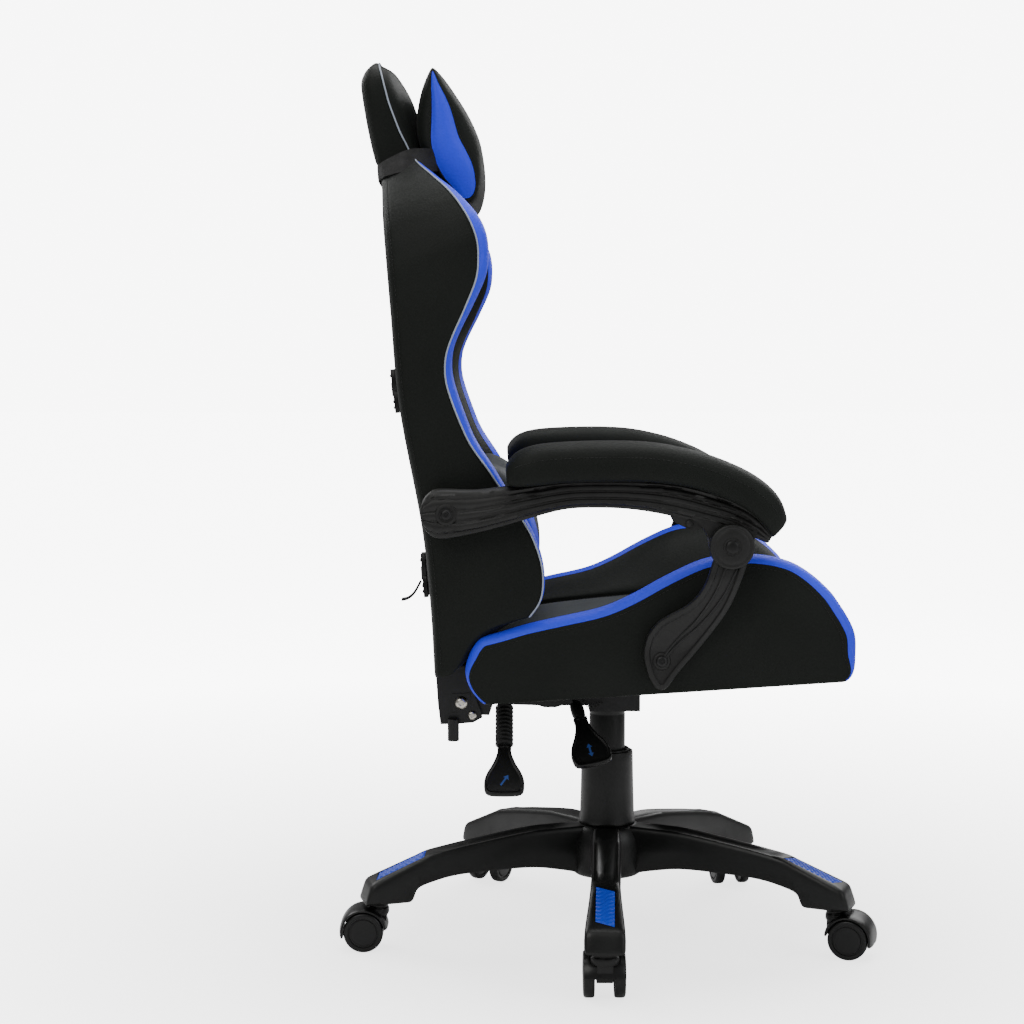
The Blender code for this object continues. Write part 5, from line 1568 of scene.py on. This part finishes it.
LEVER_BEND_Y, LEVER_Z = -0.150, 0.3200
PADDLE_SIDE = ((0.0085, 0.0), (0.0086, 0.0100), (0.0135, 0.0240), (0.0205, 0.0370), (0.0236, 0.0470), (0.0240, 0.0540))
PADDLE_END = ((0.0240, 0.0540), (0.0226, 0.0618), (0.0165, 0.0656), (0.0, 0.0665), (-0.0165, 0.0656),
              (-0.0226, 0.0618), (-0.0240, 0.0540))
ARROWS = (
    ((-0.0050, 0.0400), (0.0, 0.0330), (0.0050, 0.0400), (0.0018, 0.0400), (0.0018, 0.0520), (0.0050, 0.0520),
     (0.0, 0.0590), (-0.0050, 0.0520), (-0.0018, 0.0520), (-0.0018, 0.0400)),
    ((-0.0075, 0.0560), (-0.0050, 0.0580), (0.0045, 0.0440), (0.0078, 0.0470), (0.0070, 0.0370), (-0.0020, 0.0410),
     (0.0015, 0.0425)),
)


def lever_frame(start, direction):
    """Matrix with +Y down the lever and +Z out of its visible face."""
    across = Vector((1, 0, 0))
    across = (across - across.dot(direction) * direction).normalized()
    face = across.cross(direction)
    turn = Matrix((across, direction, -face)).transposed().to_4x4()
    return Matrix.Translation(start) @ turn


def paddle_part():
    a, b = 16, 16
    flip = [(-x, y) for x, y in PADDLE_SIDE][::-1]
    outline = four_sides((((-0.0085, 0.0), (0.0, -0.0006), (0.0085, 0.0)), PADDLE_SIDE, PADDLE_END, flip), (a, b, a, b))
    rings = []
    for distance, z in ((0.0016, -0.0040), (0.0004, -0.0034), (0.0, -0.0020), (0.0, 0.0024), (0.0005, 0.0036),
                        (0.0014, 0.0041), (0.0026, 0.0040), (0.0033, 0.0031), (0.0042, 0.0029)):
        flat = inset(outline, distance)
        rings.append(np.stack([flat[:, 0], flat[:, 1], np.full(len(flat), z)], 1))
    made = Shell(rings, (a, b))
    return made.verts, made.faces


def icon_part(outline):
    n, middle, size = len(outline), 0.0475, 0.68
    verts = [(x * size, middle + (y - middle) * size, z) for z in (0.0024, 0.0032) for x, y in outline]
    faces = [tuple(range(n)), tuple(range(2 * n - 1, n - 1, -1))]
    return np.array(verts), faces + [(k, (k + 1) % n, (k + 1) % n + n, k + n) for k in range(n)]


def build_levers():
    drop = math.radians(50.0)
    for kind, x, lean_angle, length, icon in (("lift", -0.045, 14.0, 0.0185, 0), ("recline", -0.132, 0.0, 0.0565, 1)):
        body = f"{kind}_lever"
        direction = Vector((math.tan(math.radians(lean_angle)), -math.cos(drop), -math.sin(drop))).normalized()
        bend = Vector((x, LEVER_BEND_Y, LEVER_Z))
        route = [(x, -0.0712, LEVER_Z), (x, -0.1100, LEVER_Z), (x, -0.1400, LEVER_Z),
                 tuple(bend + Vector((0, 0.0022, -0.0022))), tuple(bend + direction * 0.009),
                 tuple(bend + direction * (length + 0.004))]
        steel = BLACK_STEEL if kind == "recline" else SATIN_PLASTIC
        piece(f"{body}_rod_bent", *tube(spline(route, 44), 0.0042, 20), steel, body, [f"{body}_rod"],
              "black_steel" if kind == "recline" else "black_plastic", sharp=60)
        at = lever_frame(bend + direction * length, direction)
        piece(f"{body}_paddle_moulded", *placed(paddle_part(), at), GLOSS_PLASTIC, body, [f"{body}_paddle"],
              "black_plastic", sharp=50)
        piece(f"{body}_icon", *placed(icon_part(ARROWS[icon]), at), PRINT, body, slot="blue_plastic", sharp=30)
        if kind == "lift":
            collar = ((0.0, -0.0030), (0.0060, -0.0030), (0.0078, -0.0010), (0.0083, 0.0040), (0.0083, 0.0110),
                      (0.0070, 0.0185), (0.0, 0.0190))
            turn = Vector((0, 0, 1)).rotation_difference(direction).to_matrix().to_4x4()
            piece("lift_lever_collar", *placed(lathe(collar, 40), Matrix.Translation(bend) @ turn), SATIN_PLASTIC,
                  body, slot="black_plastic", sharp=50)
        else:
            ribs, start, end = 10, 0.001, 0.056
            profile, pitch = [(0.0043, start)], (end - start) / ribs
            for k in range(ribs):
                base = start + pitch * k
                profile += [(0.0088, base), (0.0106, base + pitch * 0.18), (0.0110, base + pitch * 0.45),
                            (0.0106, base + pitch * 0.70), (0.0088, base + pitch * 0.88)]
            profile += [(0.0088, end), (0.0043, end)]
            turn = Vector((0, 0, 1)).rotation_difference(direction).to_matrix().to_4x4()
            boot = placed(lathe(profile, 40, closed=True), Matrix.Translation(bend) @ turn)
            piece("recline_lever_boot_ribbed", *boot,
                  RUBBER, body, ["recline_lever_boot"], "black_plastic", sharp=70)


def build_spring():
    """The small return spring beside the lift lever."""
    turn = np.linspace(0, 2 * math.pi * 7, 150)
    along = np.linspace(0, 1, 150)
    bow = spline(((-0.038, -0.0760, 0.3170), (-0.026, -0.0790, 0.3080), (-0.010, -0.0770, 0.3120)), 150)
    coil = np.stack([np.cos(turn) * 0.0006, np.cos(turn) * 0.0024, np.sin(turn) * 0.0024], 1)
    piece("lift_spring", *tube(bow + coil * np.sin(np.pi * along)[:, None] ** 0.3, 0.0005, 6), BLACK_STEEL, "seat",
          slot="black_steel")


# ---------------------------------------------------------------- straps and buckles


def strip(path, widths, thick, lift=0.0):
    """A band along points, from its two edges' directions and a thickness towards +lift."""
    path, widths = np.array(path, float), np.array(widths, float)
    shares = np.linspace(-1, 1, 5)
    top = path[:, None] + shares[None, :, None] * widths[:, None]
    along = np.gradient(path, axis=0)
    normal = np.cross(along, widths)
    normal /= np.linalg.norm(normal, axis=1)[:, None]
    edge = (1 - 0.35 * np.abs(shares) ** 6)[None, :, None]
    return slab(top + normal[:, None] * (lift + thick / 2 * edge), top + normal[:, None] * (lift - thick / 2 * edge))


# The head strap's upper and lower edge, from the middle of the back round the chair's right side
HEAD_STRAP = (
    ((-0.2855, 0.0, 0.9720), (-0.2840, 0.0, 0.9530)), ((-0.2855, -0.050, 0.9720), (-0.2840, -0.050, 0.9530)),
    ((-0.2850, -0.1080, 0.9725), (-0.2835, -0.1120, 0.9535)), ((-0.2840, -0.1270, 0.9728), (-0.2815, -0.1390, 0.9540)),
    ((-0.2770, -0.1345, 0.9765), (-0.2715, -0.1540, 0.9575)), ((-0.2620, -0.1340, 0.9845), (-0.2555, -0.1580, 0.9610)),
    ((-0.2463, -0.1310, 0.9912), (-0.2400, -0.1530, 0.9630)), ((-0.2300, -0.1260, 0.9930), (-0.2270, -0.1400, 0.9640)),
    ((-0.2120, -0.1170, 0.9930), (-0.2110, -0.1170, 0.9665)),
)


def build_head_strap():
    """The pillow's strap: round the back and sides of the neck, then forward into the pillow's ends."""
    edges = []
    for k in (0, 1):
        right = np.array([pair[k] for pair in HEAD_STRAP])
        edges.append(spline(np.vstack([right[:0:-1] * (1, -1, 1), right]), 120))
    high, low = edges
    piece("head_strap_woven", *strip((high + low) / 2, (high - low) / 2, 0.0022), WEBBING, "backrest",
          ["head_strap"], "black_webbing", sharp=60)


def rear_at(z, off):
    """A point on the middle of the back, a distance behind it."""
    return float(np.interp(z, REAR[:, 1], REAR[:, 0])) - off


BUCKLE_OUTLINE = (
    (-0.0150, -0.0280), (0.0150, -0.0280), (0.0172, -0.0200), (0.0172, -0.0040), (0.0150, 0.0), (0.0172, 0.0040),
    (0.0172, 0.0210), (0.0140, 0.0280), (-0.0140, 0.0280), (-0.0172, 0.0210), (-0.0172, 0.0040), (-0.0150, 0.0),
    (-0.0172, -0.0040), (-0.0172, -0.0200),
)
BUCKLE_TONGUE = ((-0.0085, -0.0060), (0.0085, -0.0060), (0.0065, 0.0110), (-0.0065, 0.0110))
BUCKLE_BARS, BUCKLE_BAR_HALF, BUCKLE_BAR_TALL = (-0.0225, -0.0150, 0.0180), 0.0130, 0.0035


def build_lumbar_strap():
    heights = np.linspace(0.4200, 0.7450, 80)
    bow = np.interp(heights, (0.420, 0.440, 0.470, 0.505, 0.560, 0.640, 0.672, 0.700, 0.728, 0.745),
                    (0.0015, 0.0080, 0.0130, 0.0060, 0.0005, 0.0005, 0.0080, 0.0120, 0.0080, 0.0015))
    path = np.array([(rear_at(z, 0.0030 + b), 0.0, z) for z, b in zip(heights, bow)])
    widths = np.tile((0.0, 0.0125, 0.0), (len(path), 1))
    piece("lumbar_strap_woven", *strip(path, widths, 0.0020), WEBBING, "backrest", ["lumbar_strap"],
          "black_webbing", sharp=60)
    tail = spline(((-0.2400, 0.0, 0.4560), (-0.2480, 0.0, 0.4420), (-0.2560, 0.0, 0.4350), (-0.2640, 0.0, 0.4330)), 20)
    piece("lumbar_strap_tail", *strip(tail, np.tile((0.0, 0.0125, 0.0), (20, 1)), 0.0030), WEBBING, "backrest",
          slot="black_webbing", sharp=60)
    for name, nodes, z in (("lumbar_buckle_upper", ["lumbar_buckle"], 0.7000), ("lumbar_buckle_lower", [], 0.4650)):
        parts = [prism(BUCKLE_OUTLINE, -0.0030, 0.0030), prism(BUCKLE_TONGUE, 0.0018, 0.0046)]
        for low in BUCKLE_BARS:
            left, right, top = -BUCKLE_BAR_HALF, BUCKLE_BAR_HALF, low + BUCKLE_BAR_TALL
            parts.append(prism(((left, low), (right, low), (right, top), (left, top)), 0.0016, 0.0044))
        lean_back = math.atan2(rear_at(z + 0.03, 0) - rear_at(z - 0.03, 0), 0.06)
        at = (Matrix.Translation((rear_at(z, 0.0160), 0.0, z)) @ Matrix.Rotation(lean_back, 4, "Y")
              @ Matrix.Rotation(math.radians(-90), 4, "Z"))
        piece(name, *placed(merged(parts), at), BLACK_PLASTIC, "backrest", nodes, "black_plastic", sharp=34,
              bevel=0.0008)


# ---------------------------------------------------------------- stitching


def both_sides(name, path, body, left_body=None):
    for side, sign in (("right", 1), ("left", -1)):
        at = body if side == "right" else (left_body or body)
        piece(f"{name}_{side}", *dashes(path * (1, sign, 1)), THREAD, at, slot="black_webbing")


def between(obj, one, two, share):
    return points_of(obj, one) * (1 - share) + points_of(obj, two) * share


def build_stitches():
    tree = surface(wing)
    aft = between(wing, wing_shell.column(SEAM_AFT), wing_shell.column(SEAM_AFT + 1), 0.25)
    both_sides("wing_rear_stitches", laid_on(tree, aft[2:-2], 0.0003), "backrest")
    fore = between(wing, wing_shell.column(PIPE), wing_shell.column(PIPE - 1), 0.55)
    both_sides("wing_front_stitches", laid_on(tree, fore[2:-2], 0.0003), "backrest")
    tree = surface(bolster)
    rim = [i for i in bolster_shell.ring(0)[bolster_a:]]
    inner = [i for i in bolster_shell.ring(1)[bolster_a:]]
    both_sides("seat_side_stitches", laid_on(tree, between(bolster, rim, inner, -0.35), 0.0003), "seat")
    tree = surface(pad)
    for name, column, step in (("one", pad_seams[0], 0.0035), ("two", pad_seams[1], -0.0035)):
        for edge, sign in (("outer", 1), ("inner", -1)):
            line = points_of(pad, pad_shell.column(column)[2:-2]) + (0, step * sign, 0)
            piece(f"pad_stitches_{name}_{edge}", *dashes(laid_on(tree, line, 0.0003)), THREAD, "backrest",
                  slot="black_webbing")
    tree = surface(cushion)
    ring_range = slice(cushion_rows[0] - 14, cushion_rows[2] + 8)
    for name, ring, step in (("one", cushion_seams[0], 0.0035), ("two", cushion_seams[1], -0.0035)):
        line = points_of(cushion, cushion_shell.ring(ring)[ring_range]) - (0, step, 0)
        piece(f"cushion_stitches_{name}", *dashes(laid_on(tree, line, 0.0003)), THREAD, "seat", slot="black_webbing")
    tree = surface(arm_pad)
    line = points_of(arm_pad, arm_pad_shell.column(18)[2:-2]) + (0, 0, 0.0022)
    path = laid_on(tree, line, 0.0002)
    for side, sign in (("right", 1), ("left", -1)):
        piece(f"arm_pad_stitches_{side}", *dashes(path * (1, sign, 1)), THREAD, f"arm_{side}", slot="black_webbing")
    for label, obj, made, count in (("head_pillow", head_pillow, head_pillow_shell, head_pillow_rings),
                                    ("lumbar", lumbar, lumbar_shell, lumbar_rings)):
        tree = surface(obj)
        for end, one, two in (("right", 0, 1), ("left", count - 1, count - 2)):
            line = between(obj, made.ring(one), made.ring(two), 0.45)
            line = laid_on(tree, np.vstack([line, line[:1]]), 0.0003)
            piece(f"{label}_stitches_{end}", *dashes(line), THREAD, "backrest", slot="black_webbing")


build_base()
build_column()
for caster in range(LEG_COUNT):
    build_caster(caster)
build_arm()
build_hinge()
build_levers()
build_spring()
build_head_strap()
build_lumbar_strap()
build_stitches()
for name in ("mechanism", "hinge_bracket_right", "hinge_bracket_left", "seat_board"):
    rounded(NODES[name], 0.0009)


# ---------------------------------------------------------------- carried-over nodes


for name, node in NODES.items():
    if node.hide_render:
        continue
    slot = node.data.materials[0].name.split(".")[0] if node.data.materials else ""
    for known, material in SLOT_MATERIALS.items():
        if slot.startswith(known):
            for i in range(len(node.data.materials)):
                node.data.materials[i] = material
